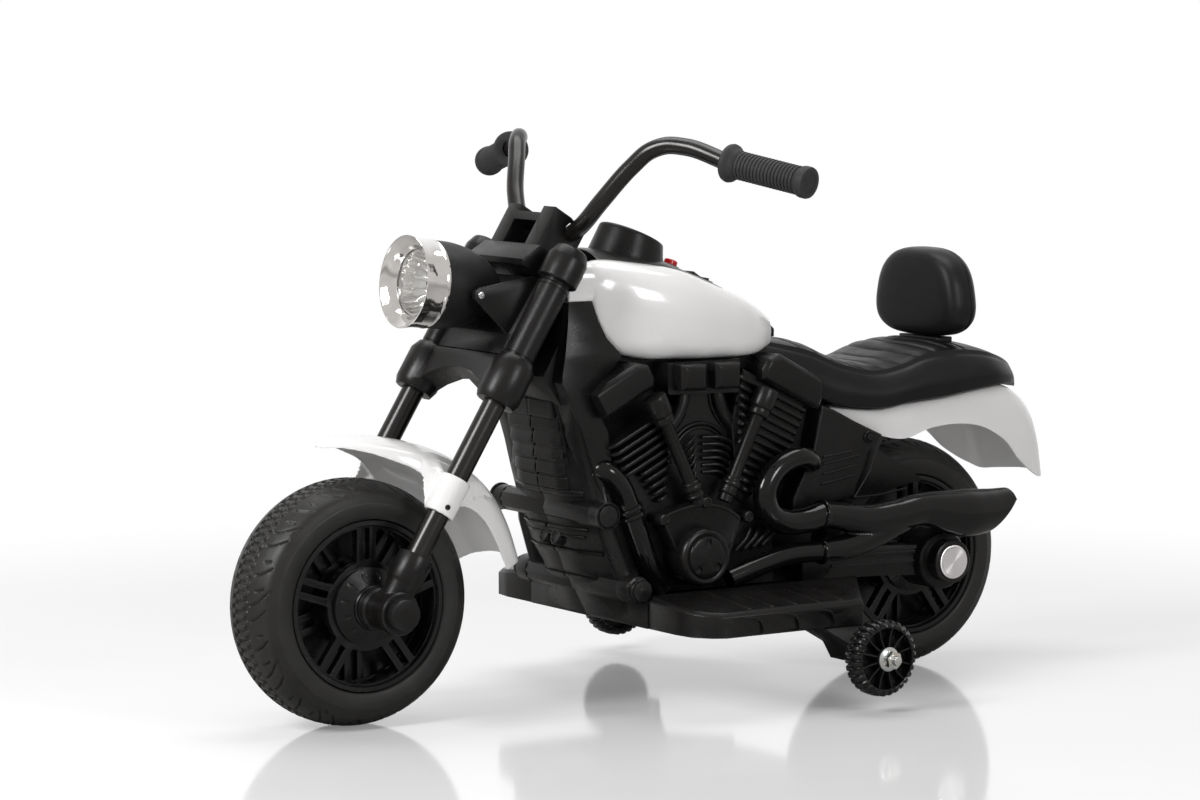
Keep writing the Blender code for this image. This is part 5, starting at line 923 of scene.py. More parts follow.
def front_fender():
    """Saddle, arms and sleeves melted into one moulding, with the fork tubes' bores cut free again."""
    sides = (-1, 1)
    sleeves, arms = [fender_sleeve(side) for side in sides], [fender_arm(side) for side in sides]
    bores = [rod(SLEEVE_BORE, fork_point(SLEEVE_BOTTOM - 30, 0, side * FORK_HALF_TRACK),
        fork_point(SLEEVE_TOP + 30, 0, side * FORK_HALF_TRACK), 64) for side in sides]
    moulding = cut(melted(joined(fender_saddle(), *sleeves, *arms), 1.4, 3), *bores)
    piece("front_fender_moulding", moulding, "white_plastic", "steering", "front_fender")
    place = fork_point(SLEEVE_BOTTOM + 8.5, 3, FORK_HALF_TRACK + SLEEVE_RADIUS - 0.8)
    both("fender_screw", screw_head(place, (0.15, 1, 0), 3, 1.6), "satin_black", "steering")


# Tank, console, seat

crest = chart(TANK_CREST)
belly = chart(TANK_BELLY, corners=(1,))
tank_half = chart(TANK_PLAN)
nose_flare = chart(TANK_NOSE_FLARE)


def tank_section(x):
    """One cross-section of the left white cover."""
    top, low, wide = crest(x) - COVER_DROP, belly(x), tank_half(x)
    middle, reach = (top + low) / 2, (top - low) / 2
    inner_top = CONSOLE_HALF_WIDTH + 0.3 + nose_flare(max(x, 436)) * (x > 436)
    shelf = max(crest(x) - CORE_DROP + 0.5, low + 0.55 * (top - low))
    points = []
    for k in range(33):
        turn = radians(90 - 180 * k / 32)
        base = inner_top if turn > 0 else TANK_INNER + 1.5
        points.append((x, base + (wide - base) * max(cos(turn), 0.0) ** 0.62, middle + reach * sin(turn)))
    return points + [(x, TANK_INNER, low), (x, TANK_INNER, shelf), (x, inner_top, shelf)]


def tank_covers():
    nose = [477, 476.5, 475.5, 474, 472, 469, 465, 461, 457, 453, 449.5, 449, 447.5]
    middle = [446 - 5 * k for k in range(43)]
    tail = [231.5, 228.5, 226, 223.5, 221.5, 220, 218.8, 218, 217.3, 217]
    rings = np.array([tank_section(x) for x in nose + middle + tail])
    for row in (0, -1):
        centre = rings[row].mean(axis=0)
        rings[row] = centre + (rings[row] - centre) * (1, 0.985, 0.985)
    both("tank_cover_moulding", skin(rings), "white_plastic", "frame", "tank_cover", sharp=50)


def crest_normal(x):
    """The direction straight out of the console's crest."""
    step = 10
    return Vector((crest(x - step) - crest(x + step), 0, 2 * step)).normalized()


def crest_block(x, half_length, half_width, low, high):
    """A block set square to the console's crest."""
    out = crest_normal(x)
    run = ACROSS.cross(out)
    centre = Vector((x, 0, crest(x)))
    corners = ((-half_length, low), (half_length, low), (half_length, high), (-half_length, high))
    return skin([[centre + run * a + out * b + ACROSS * y for a, b in corners]
        for y in (-half_width, half_width)])


def console_section(x, low):
    """One cross-section of the console, from its flat underside to its crown."""
    half = CONSOLE_HALF_WIDTH
    top, edge = crest(x), crest(x) - COVER_DROP + 1
    side = [(half, edge - 0.8), (half - 0.8, edge), (half * 0.78, edge + 0.45 * (top - edge)),
        (half * 0.55, top - 2.2), (half * 0.28, top - 0.6)]
    whole = [(-half, low), (half, low)] + side + [(0, top)] + [(-y, z) for y, z in reversed(side)]
    return [(x, y, z) for y, z in whole]


def console():
    """The black strip along the tank, with the rims round its button and its switch."""
    places = [430 - 6 * k for k in range(36)] + [216.3]
    strip = skin([console_section(x, crest(x) - CORE_DROP + 0.3) for x in places])
    tail = skin([console_section(x, SEAT_NOSE + 0.3) for x in (217, 212, 207, 202, 198.5, 196)])
    top, out = Vector((BUTTON_X, 0, crest(BUTTON_X))), crest_normal(BUTTON_X)
    hole = rod(BUTTON_RADIUS + 0.3, top - out * 9.8, top + out * 20, 40)
    pocket = crest_block(SWITCH_X, SWITCH_LENGTH / 2 + 0.4, SWITCH_HALF_WIDTH + 0.3, -12, 20)
    piece("console_strip", softened(cut(fuse(strip, tail), hole, pocket), 0.4), "satin_black", "frame",
        "console")
    seat_ring = turned([(BUTTON_RADIUS + 0.5, -2), (BUTTON_RADIUS + 3, -2), (BUTTON_RADIUS + 3, 1),
        (BUTTON_RADIUS + 2.4, 1.6), (BUTTON_RADIUS + 1, 1.6), (BUTTON_RADIUS + 0.5, 1)], top, out, 48,
        ring=True)
    frame_outside = crest_block(SWITCH_X, SWITCH_LENGTH / 2 + 2.8, SWITCH_HALF_WIDTH + 2.6, -2, 1.3)
    frame_inside = crest_block(SWITCH_X, SWITCH_LENGTH / 2 + 0.6, SWITCH_HALF_WIDTH + 0.5, -10, 10)
    piece("console_rims", joined(seat_ring, softened(cut(frame_outside, frame_inside), 0.4)), "satin_black",
        "frame")


# Gauge pod: the middle (x, z), half length and half width of its foot and of its face, which tilts
POD_FOOT = (367, 472.5, 47, 39)
POD_FACE = (354.5, 502.5, 35.1, 34.7)
POD_TILT = 15.5
# Share of the way up and swell of each ring, from the foot over the lip and down onto the dial
POD_RINGS = ((0.0, 1.02), (0.03, 1.0), (0.3, 0.99), (0.6, 0.985), (0.9, 0.98), (0.95, 0.976),
    (0.975, 0.965), (0.992, 0.945), (1.0, 0.92), (1.0, 0.87), (0.992, 0.855), (0.96, 0.848),
    (0.945, 0.835), (0.945, 0.55), (0.945, 0.25), (0.945, 0.02))


def gauge_pod():
    """The oval pod with a sunk dial that stands on the console."""
    x0, z0, long0, wide0 = POD_FOOT
    x1, z1, long1, wide1 = POD_FACE
    rings = []
    for share, swell in POD_RINGS:
        ring = []
        for turn in 2 * pi * np.arange(96) / 96:
            ahead, across = swell * cos(turn), swell * sin(turn)
            foot = Vector((x0 + long0 * ahead, wide0 * across, z0))
            face = Vector((x1 + long1 * ahead, wide1 * across, z1 + POD_TILT * ahead))
            ring.append(foot.lerp(face, share))
        rings.append(ring)
    piece("gauge_pod", skin(rings), "satin_black", "frame")


seat_crown = chart(SEAT_CROWN)
seat_low = chart(SEAT_LOW)
seat_half = chart(SEAT_PLAN)


def quilt(x, y, half):
    """How far the seat's top rises or sinks here for its channels and its piping."""
    across = abs(y) / (PIPING_AT * half)
    front, back = 176, -46
    rise = 0.0
    if across < 1.0:
        place = x + CHANNEL_BOW * (across ** 2 - 0.35)
        pitch = (front - back) / SEAT_CHANNELS
        share = (front - place) / pitch
        if -0.02 < share < SEAT_CHANNELS + 0.02:
            away = abs(share - round(share)) * pitch
            edge = min(1.0, (1.0 - across) / 0.1)
            channel = CHANNEL_DEPTH * np.exp(-(away / 1.7) ** 2)
            rise += (0.8 * (1 - np.exp(-(away / 6) ** 2)) - channel) * edge
    from_piping = abs(y) - PIPING_AT * half
    rise += 1.6 * np.exp(-(from_piping / 1.4) ** 2) - np.exp(-((from_piping - 3.4) / 1.4) ** 2)
    return float(rise)


def seat():
    first, last = SEAT_CROWN[0][0], SEAT_CROWN[-1][0]
    count = 260
    rings = []
    for k in range(count + 1):
        x = first + (last - first) * k / count
        low, half = seat_low(x) + 0.3, seat_half(x)
        top = seat_crown(x)
        height = top - low
        side = smooth([(half * 0.97, low + 1.2), (half, low + 0.3 * height),
            (half * 0.915, low + 0.62 * height), (half * 0.8, top - 0.185 * height),
            (half * 0.46, top - 0.035 * height), (0, top)], 9)
        points = [(y, z + (quilt(x, y, half) if z > low + 0.6 * height else 0)) for y, z in side]
        other = [(-y, z) for y, z in reversed(points[:-1])]
        whole = [(half * 0.95, low)] + points + other + [(-half * 0.95, low)]
        rings.append([(x, y, z) for y, z in whole])
    middle = PAD_FRONT - PAD_THICKNESS / 2
    slot = box(middle - 11.5, middle + 11.5, -35.5, 35.5, 345, 450)
    piece("seat_moulding", cut(skin(rings), slot), "leather_black", "frame", "seat", sharp=45)


def backrest():
    half_height = (PAD_TOP - PAD_BOTTOM) / 2
    outline = []
    for k in range(120):
        turn = 2 * pi * k / 120
        y, z = (abs(v) ** 0.62 * (1 if v > 0 else -1) for v in (cos(turn), sin(turn)))
        outline.append((y * PAD_HALF_WIDTH * (1.0 - 0.14 * z - 0.08 * z * z), z * half_height))
    lowest = min(z for _, z in outline)
    profile = [(1.6, 0.02), (1.6, 0.3), (1.2, 0.6), (0.3, 0.76), (-1, 0.855), (-3.6, 0.925), (-7.5, 0.968),
        (-12.5, 0.99), (-18, 1.0), (-25.5, 1.0), (-26.2, 0.996), (-26.6, 0.986), (-27.6, 0.984),
        (-28, 0.992), (-29, 0.997), (-33, 0.975), (-38, 0.925), (-42, 0.85), (-44.3, 0.74),
        (-PAD_THICKNESS, 0.6), (-PAD_THICKNESS, 0.02)]
    rings = [[(PAD_FRONT + x - 1.6, y * scale, z * scale + PAD_BOTTOM - lowest) for y, z in outline]
        for x, scale in profile]
    piece("backrest_pad", skin(rings), "leather_black", "frame", "backrest", sharp=45)


# Rear fender stations: side x, side bottom z, ridge x, ridge z (None under the seat), half width
REAR_FENDER = (
    (131, 300.5, 131, None, 66), (110, 291, 110, None, 72),
    (70, 272, 70, None, 77), (40, 267.5, 40, None, 80),
    (6, 277, 6, None, 81), (-33, 280, -33, None, 81),
    (-75, 273, -80, None, 79), (-108, 256, -120, None, 75),
    (-130, 235, -154, 311, 70), (-147, 223, -178, 290, 65),
    (-157, 217, -196, 258, 61), (-161, 215, -208, 210, 59),
)


def rear_fender():
    wall = 2.8
    rings = []
    for side_x, low, ridge_x, ridge_z, half in REAR_FENDER:
        covered = ridge_z is None
        top = seat_low(ridge_x) - 0.4 if covered else ridge_z
        shoulder = top - 1 if covered else top - 0.12 * (top - low)
        back = side_x - ridge_x
        corners = [(side_x, half, low),
            (ridge_x + back * (1.0 if covered else 0.72), half * 0.93, shoulder - 2),
            (ridge_x + back * 0.3, half * 0.58, top - (top - shoulder) * 0.5), (ridge_x, 0, top)]
        outside = smooth(corners + [(x, -y, z) for x, y, z in reversed(corners[:-1])], 7)
        inset = wall if covered else 0.8 * wall
        inside = []
        for x, y, z in outside[::-1]:
            toward = max(0.0, min(1.0, (z - low) / max(top - low, 1e-6)))
            shift = 0 if covered else inset * 0.9
            inside.append((x + shift * (0.3 + 0.7 * (1 - abs(y) / half)), y * (half - inset) / half,
                z - inset * toward * (1.0 if covered else 0.25)))
        rings.append(np.vstack([outside, inside]))
    piece("rear_fender_moulding", skin(smooth(rings, 6)), "white_plastic", "frame", "rear_fender", sharp=50)


def exhaust():
    upper = pipe([(176, ENGINE_INNER + 1, 248.5), (176, 80, 248.5), (182, 98.5, 252.5), (200, 105.5, 259.5),
        (220, 106, 257), (241, 106, 244), (252, 106, 221), (244, 106, 200), (225, 106, 190),
        (200, 106, 189), (172, 108, 195)], (10.5, 10.5, 10.5, 11, 11.5, 12.2, 13, 13.5, 14, 14, 14), 6)
    lower = pipe([(298, 104, 133), (264, 106, 143.5), (224, 107, 153), (172, 109, 155)], 11.5, 8)
    silencer = pipe([(176, 108, 195), (150, 109, 191), (122, 112, 185.5), (80, 116, 188), (46, 118, 192.5),
        (10, 118, 187.5), (-16, 118, 184), (-45, 118, 185), (-78, 118, 190)],
        (14.5, 15.5, 17, 17.5, 18, 24, 27, 24.5, 19), 6, 56)
    branch = pipe([(178, 109, 155), (140, 110, 158), (100, 113, 170), (60, 116, 182)], (13, 14, 14, 11), 6)
    slash = prism(((-74.5, 196), (-30, 150), (-150, 120), (-150, 230)), 50, 200)
    mouth = tube(((-20, 118, 185), (-45, 118, 185), (-78, 118, 190)), [15, 21.5, 16.5], 32)
    pipes = cut(melted(fuse(silencer, branch), 1.2, 4), slash, mouth)
    rings = []
    for centre, axis, radius in (((176, 108, 195), (1, 0, 0.1), 16.5), ((178, 109, 155), (1, 0, 0), 15)):
        rings.append(turned([(radius - 1.4, -2.6), (radius - 0.3, -2), (radius, -1), (radius, 1),
            (radius - 0.3, 2), (radius - 1.4, 2.6)], centre, axis, 48))
    both("exhaust_pipes", joined(pipes, upper, lower, *rings), "gloss_black", "frame", "exhaust", sharp=40)


# Engine relief, one side; the x mirror of a front cylinder point makes the rear cylinder

V_MIDDLE = 318
V_LEAN = radians(26)
CYLINDER_FOOT = (374, 224.5)
ENGINE_INNER = 60.3
FIN_PITCH = 9
FINS = 13
LONG_FINS_FROM = 5
FIN_THICKNESS = 4.6
FIN_FACE = 92
PUSHROD_FOOT = (338.4, 224.8)
PUSHROD_Y = 99.5
COVER_CENTRE = (335.5, 160.5)
COVER_RADIUS = 31.5
COVER_FACE = 118.8
CASE_FACE = 104
BAY_FRONT = (
    (90, 394), (190, 404), (221, 428), (249, 434), (300, 441),
    (340, 464), (353, 449), (363, 435), (378, 420), (383, 422.8),
    (398, 436.8), (417, 444.8), (437, 449.6),
)


def on_cylinder(front):
    """Turns (ahead of a cylinder's middle, up it, y) into a point, for the front or the rear cylinder."""
    up, run = Vector((sin(V_LEAN), 0, cos(V_LEAN))), Vector((cos(V_LEAN), 0, -sin(V_LEAN)))
    foot = Vector((CYLINDER_FOOT[0], 0, CYLINDER_FOOT[1]))

    def place(a, b, y):
        point = foot + run * a + up * b
        return Vector((point.x if front else 2 * V_MIDDLE - point.x, y, point.z))
    return place


def flat(x, z, y):
    """The place of a plate that stands along the bike."""
    return Vector((x, y, z))


def raised(outline, place, steps):
    """A plate whose outline shrinks at its edges: steps of (height, inset) along place's last axis."""
    points = np.array(outline, float)
    centre = points.mean(axis=0)
    reach = np.abs(points - centre).max(axis=0)
    rings = []
    for height, inset in steps:
        scaled = centre + (points - centre) * (1 - inset / reach)
        rings.append([place(a, b, height) for a, b in scaled])
    return skin(rings)


def fins(place):
    """The cylinder's cooling fins: short ones at its foot, long ones under its head."""
    made = []
    for k in range(FINS):
        b = k * FIN_PITCH
        long = k >= LONG_FINS_FROM
        ahead = 37 if long else 7.7 + 1.8 * k
        behind = -10 - 0.55 * b
        corner = 13 if long else 7
        outline = fillet([(ahead, 58), (ahead, FIN_FACE - k % 2), (behind, FIN_FACE - 1),
            (behind, 58)], [0.0, corner, 10, 0.0], 6)
        half = FIN_THICKNESS / 2
        rings = []
        for height, inset in ((-half, 1.4), (-half * 0.75, 0.4), (-half * 0.3, 0), (half * 0.3, 0),
                (half * 0.75, 0.4), (half, 1.4)):
            ring = []
            for a, y in outline:
                inward = inset * (1 if a > behind + 1 else -1) * (abs(a - (ahead + behind) / 2) > 2)
                ring.append(place(a - inward, b + height, y - inset))
            rings.append(ring)
        made.append(skin(rings))
    outline = ((4, -12), (31, 40), (31, 118), (-62, 118), (-50, 60), (-6, -12))
    made.append(raised(outline, place, ((55, 0), (83.5, 0), (85, 2))))
    return joined(*made)


def rocker_box(place):
    """The slab on a cylinder's head, with a broad chamfer along its top."""
    low, high = 114.5, 148
    outline = ((44.5, low), (45, low + 15), (37, high), (-30, high + 2), (-43, high - 8), (-45, low + 10),
        (-40, low))
    body = raised(outline, place, ((55, 0), (93.5, 0), (98.5, 5.5)))
    return softened(body, 1.4, 3)


def pushrod(front):
    """A tube from the crankcase to the cylinder head, with a capped top and ringed collars."""
    foot = Vector((PUSHROD_FOOT[0] if front else 2 * V_MIDDLE - PUSHROD_FOOT[0], PUSHROD_Y,
        PUSHROD_FOOT[1]))
    way = Vector((sin(V_LEAN) * (1 if front else -1), 0, cos(V_LEAN)))
    profile = [(8.5, -8), (8.5, -1), (10, 0), (10.6, 1), (10.6, 3.4), (9.8, 4.4), (9.8, 8.5), (10.8, 9.5),
        (11.2, 11), (11.2, 13.5), (10.4, 15), (9.4, 15.5), (9.4, 18), (8.6, 19), (7.2, 19.5), (7.2, 90),
        (8, 91.5), (10.8, 92.5), (11.2, 94), (11.2, 98.5), (10.8, 100), (12.2, 101.2), (12.8, 103),
        (12.8, 121), (12.2, 122.8), (10, 123.6)]

    def facets(turn, radius, distance):
        return np.zeros(len(turn)) if not 20 < distance < 90 else -0.7 * np.abs(np.sin(turn * 4))
    return turned(profile, foot, way, 96, relief=facets)


def crankcase():
    """The fan-shaped case with its raised rim and bosses, and the round cover in front of it."""
    fan = [(386.3, 205.3), (373.5, 210.8), (360.4, 214.3), (347.5, 216.8), (334.2, 217.8), (321, 216.8),
        (307.9, 214.2), (294.5, 208.5), (281.4, 199.6), (292.5, 167.9), (308, 134), (335.5, 127),
        (359, 137), (366, 167.9)]
    fan = fillet(fan, 4, 3)
    middle = Vector((335, 176))
    inset = [tuple(middle + (Vector(p) - middle) * (1 - 3.8 / max((Vector(p) - middle).length, 10)))
        for p in fan]
    case = softened(cut(prism(fan, ENGINE_INNER, CASE_FACE), prism(inset, CASE_FACE - 1.6, 120)), 0.7, 2)
    made = [case]
    for x, z in ((383, 203.5), (327.7, 218.4), (272.5, 199.1)):
        made.append(turned([(6.6, 80), (6.6, 104.5), (6, 106.2), (4.2, 107), (3.6, 107), (3.2, 106.2),
            (0.0, 106.2)], (x, 0, z), steps=36))
    edge, face = COVER_RADIUS, COVER_FACE
    cx, cz = COVER_CENTRE
    cover = turned([(edge, ENGINE_INNER), (edge, face - 8), (edge - 0.4, face - 5),
        (edge - 1.8, face - 2.8), (edge - 4.2, face - 1.8), (edge - 7.2, face - 2.2),
        (edge - 8, face - 2.8), (edge - 8.6, face - 2.8), (edge - 9.2, face - 0.8),
        (edge - 10.4, face - 0.2), (edge * 0.5, face + 0.2), (0.0, face + 0.4)], (cx, 0, cz), steps=96)
    drops = []
    for turn in (92, -46, -140):
        out = Vector((cos(radians(turn)), sin(radians(turn))))
        side = Vector((-out.y, out.x))
        shape = [(-3.6, 3), (-2, 4.2), (3, 3.4), (4.4, 0.0), (3, -3.4), (-2, -4.2), (-3.6, -3)]
        centre = Vector((cx, cz)) + out * 17.2
        drops.append(prism([tuple(centre + out * a + side * b) for a, b in shape], face - 2.4, face + 10))
    made.append(softened(cut(cover, *drops), 0.4, 2))
    return joined(*made)


def between_cylinders():
    """The two air blocks under the tank, the curved manifolds, and the arched fins in the V."""
    made = [prism(((366, 369), (366, 337), (364, 335), (274, 333), (272, 335), (272, 369)), ENGINE_INNER,
        87)]
    for x0, x1 in ((280.8, 313.8), (325, 358.6)):
        outline = fillet([(x0, 338.5), (x1, 339.5), (x1, 368), (x0, 366.8)], 1.8, 3)
        made.append(raised(outline, flat, ((80, 0), (99.5, 0), (100.8, 0.6), (104.2, 4.6), (104.6, 6))))
    plate = smooth([(340, 338), (341, 326), (356, 302), (360, 250), (318, 230), (276, 250), (280, 302),
        (295, 326), (296, 338)], 3, corners=(0, 2, 3, 5, 6, 8))
    made.append(prism(plate, ENGINE_INNER, 75.5))
    for side in (1, -1):
        path = [(V_MIDDLE + side * 21.5, 76, 340), (V_MIDDLE + side * 24, 78, 325),
            (V_MIDDLE + side * 30, 78, 311), (V_MIDDLE + side * 42, 76, 296)]
        made.append(pipe(path, 7.8, 8, 28))
        path = [(V_MIDDLE + side * 13, 76, 338), (V_MIDDLE + side * 14.5, 77, 322),
            (V_MIDDLE + side * 23, 77, 305), (V_MIDDLE + side * 35, 76, 292)]
        made.append(pipe(path, 1.3, 8, 12))
    for radius in (40, 35.2):
        made.append(tube([(V_MIDDLE + x, 76.5, 261 + z) for x, z in arc(radius, 25, 155)], 2.1, 16))
    made.append(prism([(V_MIDDLE + x, 261 + z) for x, z in arc(37, 0, 180)]
        + [(V_MIDDLE - 20, 236), (V_MIDDLE + 20, 236)], ENGINE_INNER, 76.8))
    for k in range(6):
        drop, narrow = 7.6 * k, 1.8 * k
        made.append(pipe([(V_MIDDLE - 1, 80, 286 - drop), (296, 85.5, 285 - drop),
            (279 + narrow, 82, 277 - drop), (275 + narrow, 76, 272.5 - drop)], 2.1, 5, 14))
        made.append(pipe([(V_MIDDLE + 26 - narrow, 77, 274 - drop),
            (V_MIDDLE + 20 - narrow, 83, 280 - drop), (V_MIDDLE + 9, 82, 288 - drop)], 2.1, 5, 14))
    return joined(*made)


def slats():
    """Short slanting fins low between the round cover and the exhaust."""
    made = []
    for k in range(4):
        x = 276 - 12 * k
        made.append(tube(((x, 85, 160 + 1.2 * k), (x - 11, 88, 172 + 1.2 * k), (x - 20, 85, 183)), 3, 16))
    return joined(*made)


def engine():
    low = prism(((384, 122), (396, 150), (420, 215), (434, 260), (230, 260), (222, 190), (222, 122)),
        ENGINE_INNER, 79.5)
    bay = [(x - 0.3, z) for z, x in BAY_FRONT]
    ahead = prism([(600, 90)] + bay + [(600, 437)], 40, 200)
    blocks = []
    for front in (True, False):
        for shape in (fins(on_cylinder(front)), rocker_box(on_cylinder(front))):
            blocks.append(cut(shape, copied(ahead)) if front else shape)
    bpy.data.objects.remove(ahead)
    both("engine_cylinders", joined(*blocks), "satin_black", "frame", "engine")
    both("engine_case", joined(low, crankcase(), pushrod(True), pushrod(False), slats()), "satin_black",
        "frame", "engine")
    both("engine_intake", between_cylinders(), "satin_black", "frame", "engine")
    made = [pipe([(453, 66, 257), (444, 80, 258), (430, 85, 245), (417, 86, 220), (408, 86, 196),
        (384, 83, 144), (370, 78, 125)], 12.2, 8)]
    for place, way in (((415.5, 86, 216), (11, 0, 24)), ((412.8, 86, 208.5), (9, 0, 24))):
        made.append(turned([(12.2, -3), (14, -2.6), (15, -1.2), (15, 1.2), (14, 2.6), (12.2, 3)], place,
            way, 48))
    both("engine_elbow", joined(*made), "gloss_black", "frame", "engine")


# Cowl details: what the bare shells leave out
# Height, then how far ahead the skin lies at the middle and the edge, and its half width
COWL_LEVELS = (
    (92, 414, 410, 82), (118, 428, 414, 82), (145, 444, 422, 82),
    (169, 453, 437, 82), (190, 463, 445, 82), (221, 468, 454, 82),
    (249, 475.5, 462, 82), (300, 481, 475.5, 81), (340, 489.5, 488.5, 80),
    (353, 493, 495, 78),
)
LOUVRES = 5
LOUVRE_TOP = 312
LOUVRE_PITCH = 15.8
LOUVRE_HALF_WIDTH = 49
LOUVRE_PROUD = 4.2
SEAM_HALF_GAP = 1.1
# Height, breadth, how proud and reach of the rounded beads
COWL_BEADS = ((231.5, 8.5, 2.2, 66), (192.5, 5, 2.6, 62), (183.5, 4.2, 2.2, 55))


def cowl_front(y, z):
    """How far ahead the cowl's skin lies at this height and distance from the centre plane."""
    heights = [level[0] for level in COWL_LEVELS]
    middle, edge, half = (float(np.interp(z, heights, [level[k] for level in COWL_LEVELS]))
        for k in (1, 2, 3))
    return float(np.interp(abs(y), (0, 0.45 * half, 0.93 * half, half),
        (middle, middle - 1.5, edge, edge - 9)))


def seam_wave(z):
    return 1.6 * sin(z * 2 * pi / 15.8) if z > 170 else 0.6 * sin(z * 2 * pi / 30)


def cowl_band(levels, y_out):
    """A band across the left of the cowl; levels of (z, how proud), from its top down."""
    y_in = SEAM_HALF_GAP
    rings = []
    for share in np.arange(11) / 10:
        ring = []
        for z, proud in levels:
            start = y_in + seam_wave(z)
            y = start + (y_out - start) * share
            ring.append((cowl_front(y, z) + proud, y, z))
        y = y_in + (y_out - y_in) * share
        for _, across, z in (ring[-1], ring[0]):
            ring.append((cowl_front(y, z) - 4, across, z))
        rings.append(ring)
    return skin(rings)


def cowl_bands():
    """Levels and reach of each band: the panel, its brow, the louvres, the beads and the two low folds."""
    bands = [([(342, 0.2), (330, 0.6), (320, 0.6), (244, 0.6), (240, 0.2)], LOUVRE_HALF_WIDTH + 4),
        ([(332, 0.8), (331, 2.2), (326, 2.6), (LOUVRE_TOP + 2.6, 4), (LOUVRE_TOP + 1.2, 3.6),
        (LOUVRE_TOP + 0.6, 1)], LOUVRE_HALF_WIDTH - 3.5)]
    for k in range(LOUVRES):
        top = LOUVRE_TOP - k * LOUVRE_PITCH
        low = top - LOUVRE_PITCH
        proud = LOUVRE_PROUD if k < 3 else LOUVRE_PROUD * 0.75
        bands.append(([(top, 0.6), (top - 1, 1.6), (top - 0.35 * LOUVRE_PITCH, 0.45 * proud + 0.8),
            (low + 4.8, proud), (low + 3.4, proud + 0.1), (low + 2.6, proud - 1), (low + 2, 0.8)],
            LOUVRE_HALF_WIDTH))
    for centre, height, proud, reach in COWL_BEADS:
        half = height / 2
        bands.append(([(centre + half, 0), (centre + 0.6 * half, 0.7 * proud), (centre, proud),
            (centre - 0.6 * half, 0.7 * proud), (centre - half, 0)], reach))
    bands += [([(168.8, 0.0), (168, 2.4), (165.5, 2.8), (164, 2.4), (163.4, 0.0)], 70),
        ([(139, 0.0), (138.4, 2), (136.2, 2.4), (135, 2), (134.4, 0.0)], 68)]
    return bands


def cowl_details():
    """The cowl's bands, hub boss and edge strip, on each side of a wavy seam."""
    for side in (1, -1):
        made = [cowl_band(levels, reach) for levels, reach in cowl_bands()]
        made.append(turned([(9.2, -4), (9.2, 5.2), (8.6, 6.2), (6.2, 6.4), (5.6, 5.4), (0.0, 5.4)],
            (cowl_front(0, 179) - 1, 13.5 if side > 0 else 9.5, 180), (1, 0, 0.35), 40))
        made.append(prism(fillet([(448, 233), (440, 190), (427, 152), (414, 124), (405, 124), (418, 154),
            (431, 190), (439, 233)], 3, 3), 78, 84.5))
        shape = joined(*made) if side > 0 else flipped(joined(*made))
        piece(f"cowl_details_{'left' if side > 0 else 'right'}", softened(shape, 0.5), "satin_black",
            "frame")


def pipe_caps():
    """The turned ends of the cowl's two cross pipes, and the bolt in the low one."""
    radius = 13.5
    x, z, end = 456, 212.5, 107
    cap = [(radius, -20), (radius, -4), (radius + 1.2, -3.4), (radius + 1.6, -2.4), (radius + 1.6, -0.8),
        (radius + 0.8, 0.0), (radius - 1.8, 0.0), (radius - 2.4, -0.6), (0.0, -0.6)]
    both("mid_pipe_cap", turned(cap, (x, end, z), ACROSS, 56), "satin_black", "frame")
    x, z, end = 420, 131, 119.5
    cap = [(15, -30), (15, -10.5), (14.4, -9.5), (11.8, -9.2), (11.6, -6), (12.6, -5.4), (12.8, -3.6),
        (12.2, -2.8), (9, -2.6), (8.6, -1), (8, -0.4), (6.2, -0.4), (5.6, -1.2), (0.0, -1.2)]
    both("low_pipe_cap", turned(cap, (x, end, z), ACROSS, 56), "satin_black", "frame")
    both("low_pipe_bolt", screw_head((x, end - 1.4, z), ACROSS, 4.4, 1.8, recess=False), "satin_black",
        "frame")


# Side panel behind the engine, and the lips over the footboards' scoops

PANEL_FACE = 85.7
PANEL_OUTLINE = (
    (160, 312), (140.8, 305.6), (113.1, 291.7), (75.2, 274.8), (83.7, 265.5), (94.8, 256.1),
    (102.9, 236.6), (111.1, 220.4), (113.8, 207.2), (199, 196), (199, 210.7), (171.9, 261),
)
PANEL_RIBS = (
    ((158.2, 254.6), (119.7, 258.8)), ((158.2, 246.9), (108.6, 253.7)), ((158.1, 235.8), (112.7, 242.8)),
    ((160.8, 224.9), (115.4, 231.8)),
)
PANEL_BOSS = (94.9, 272.8)
PANEL_ROD = ((86.4, 258.9), (93.2, 235.9), (115.2, 207.3), (84.6, 207.4), (42.6, 212.4))
SCOOPS = (238, 285, 332)
SCOOP_LIP = ((-1, 93), (0.4, 100), (5, 106.2), (14, 109), (27, 109.8))


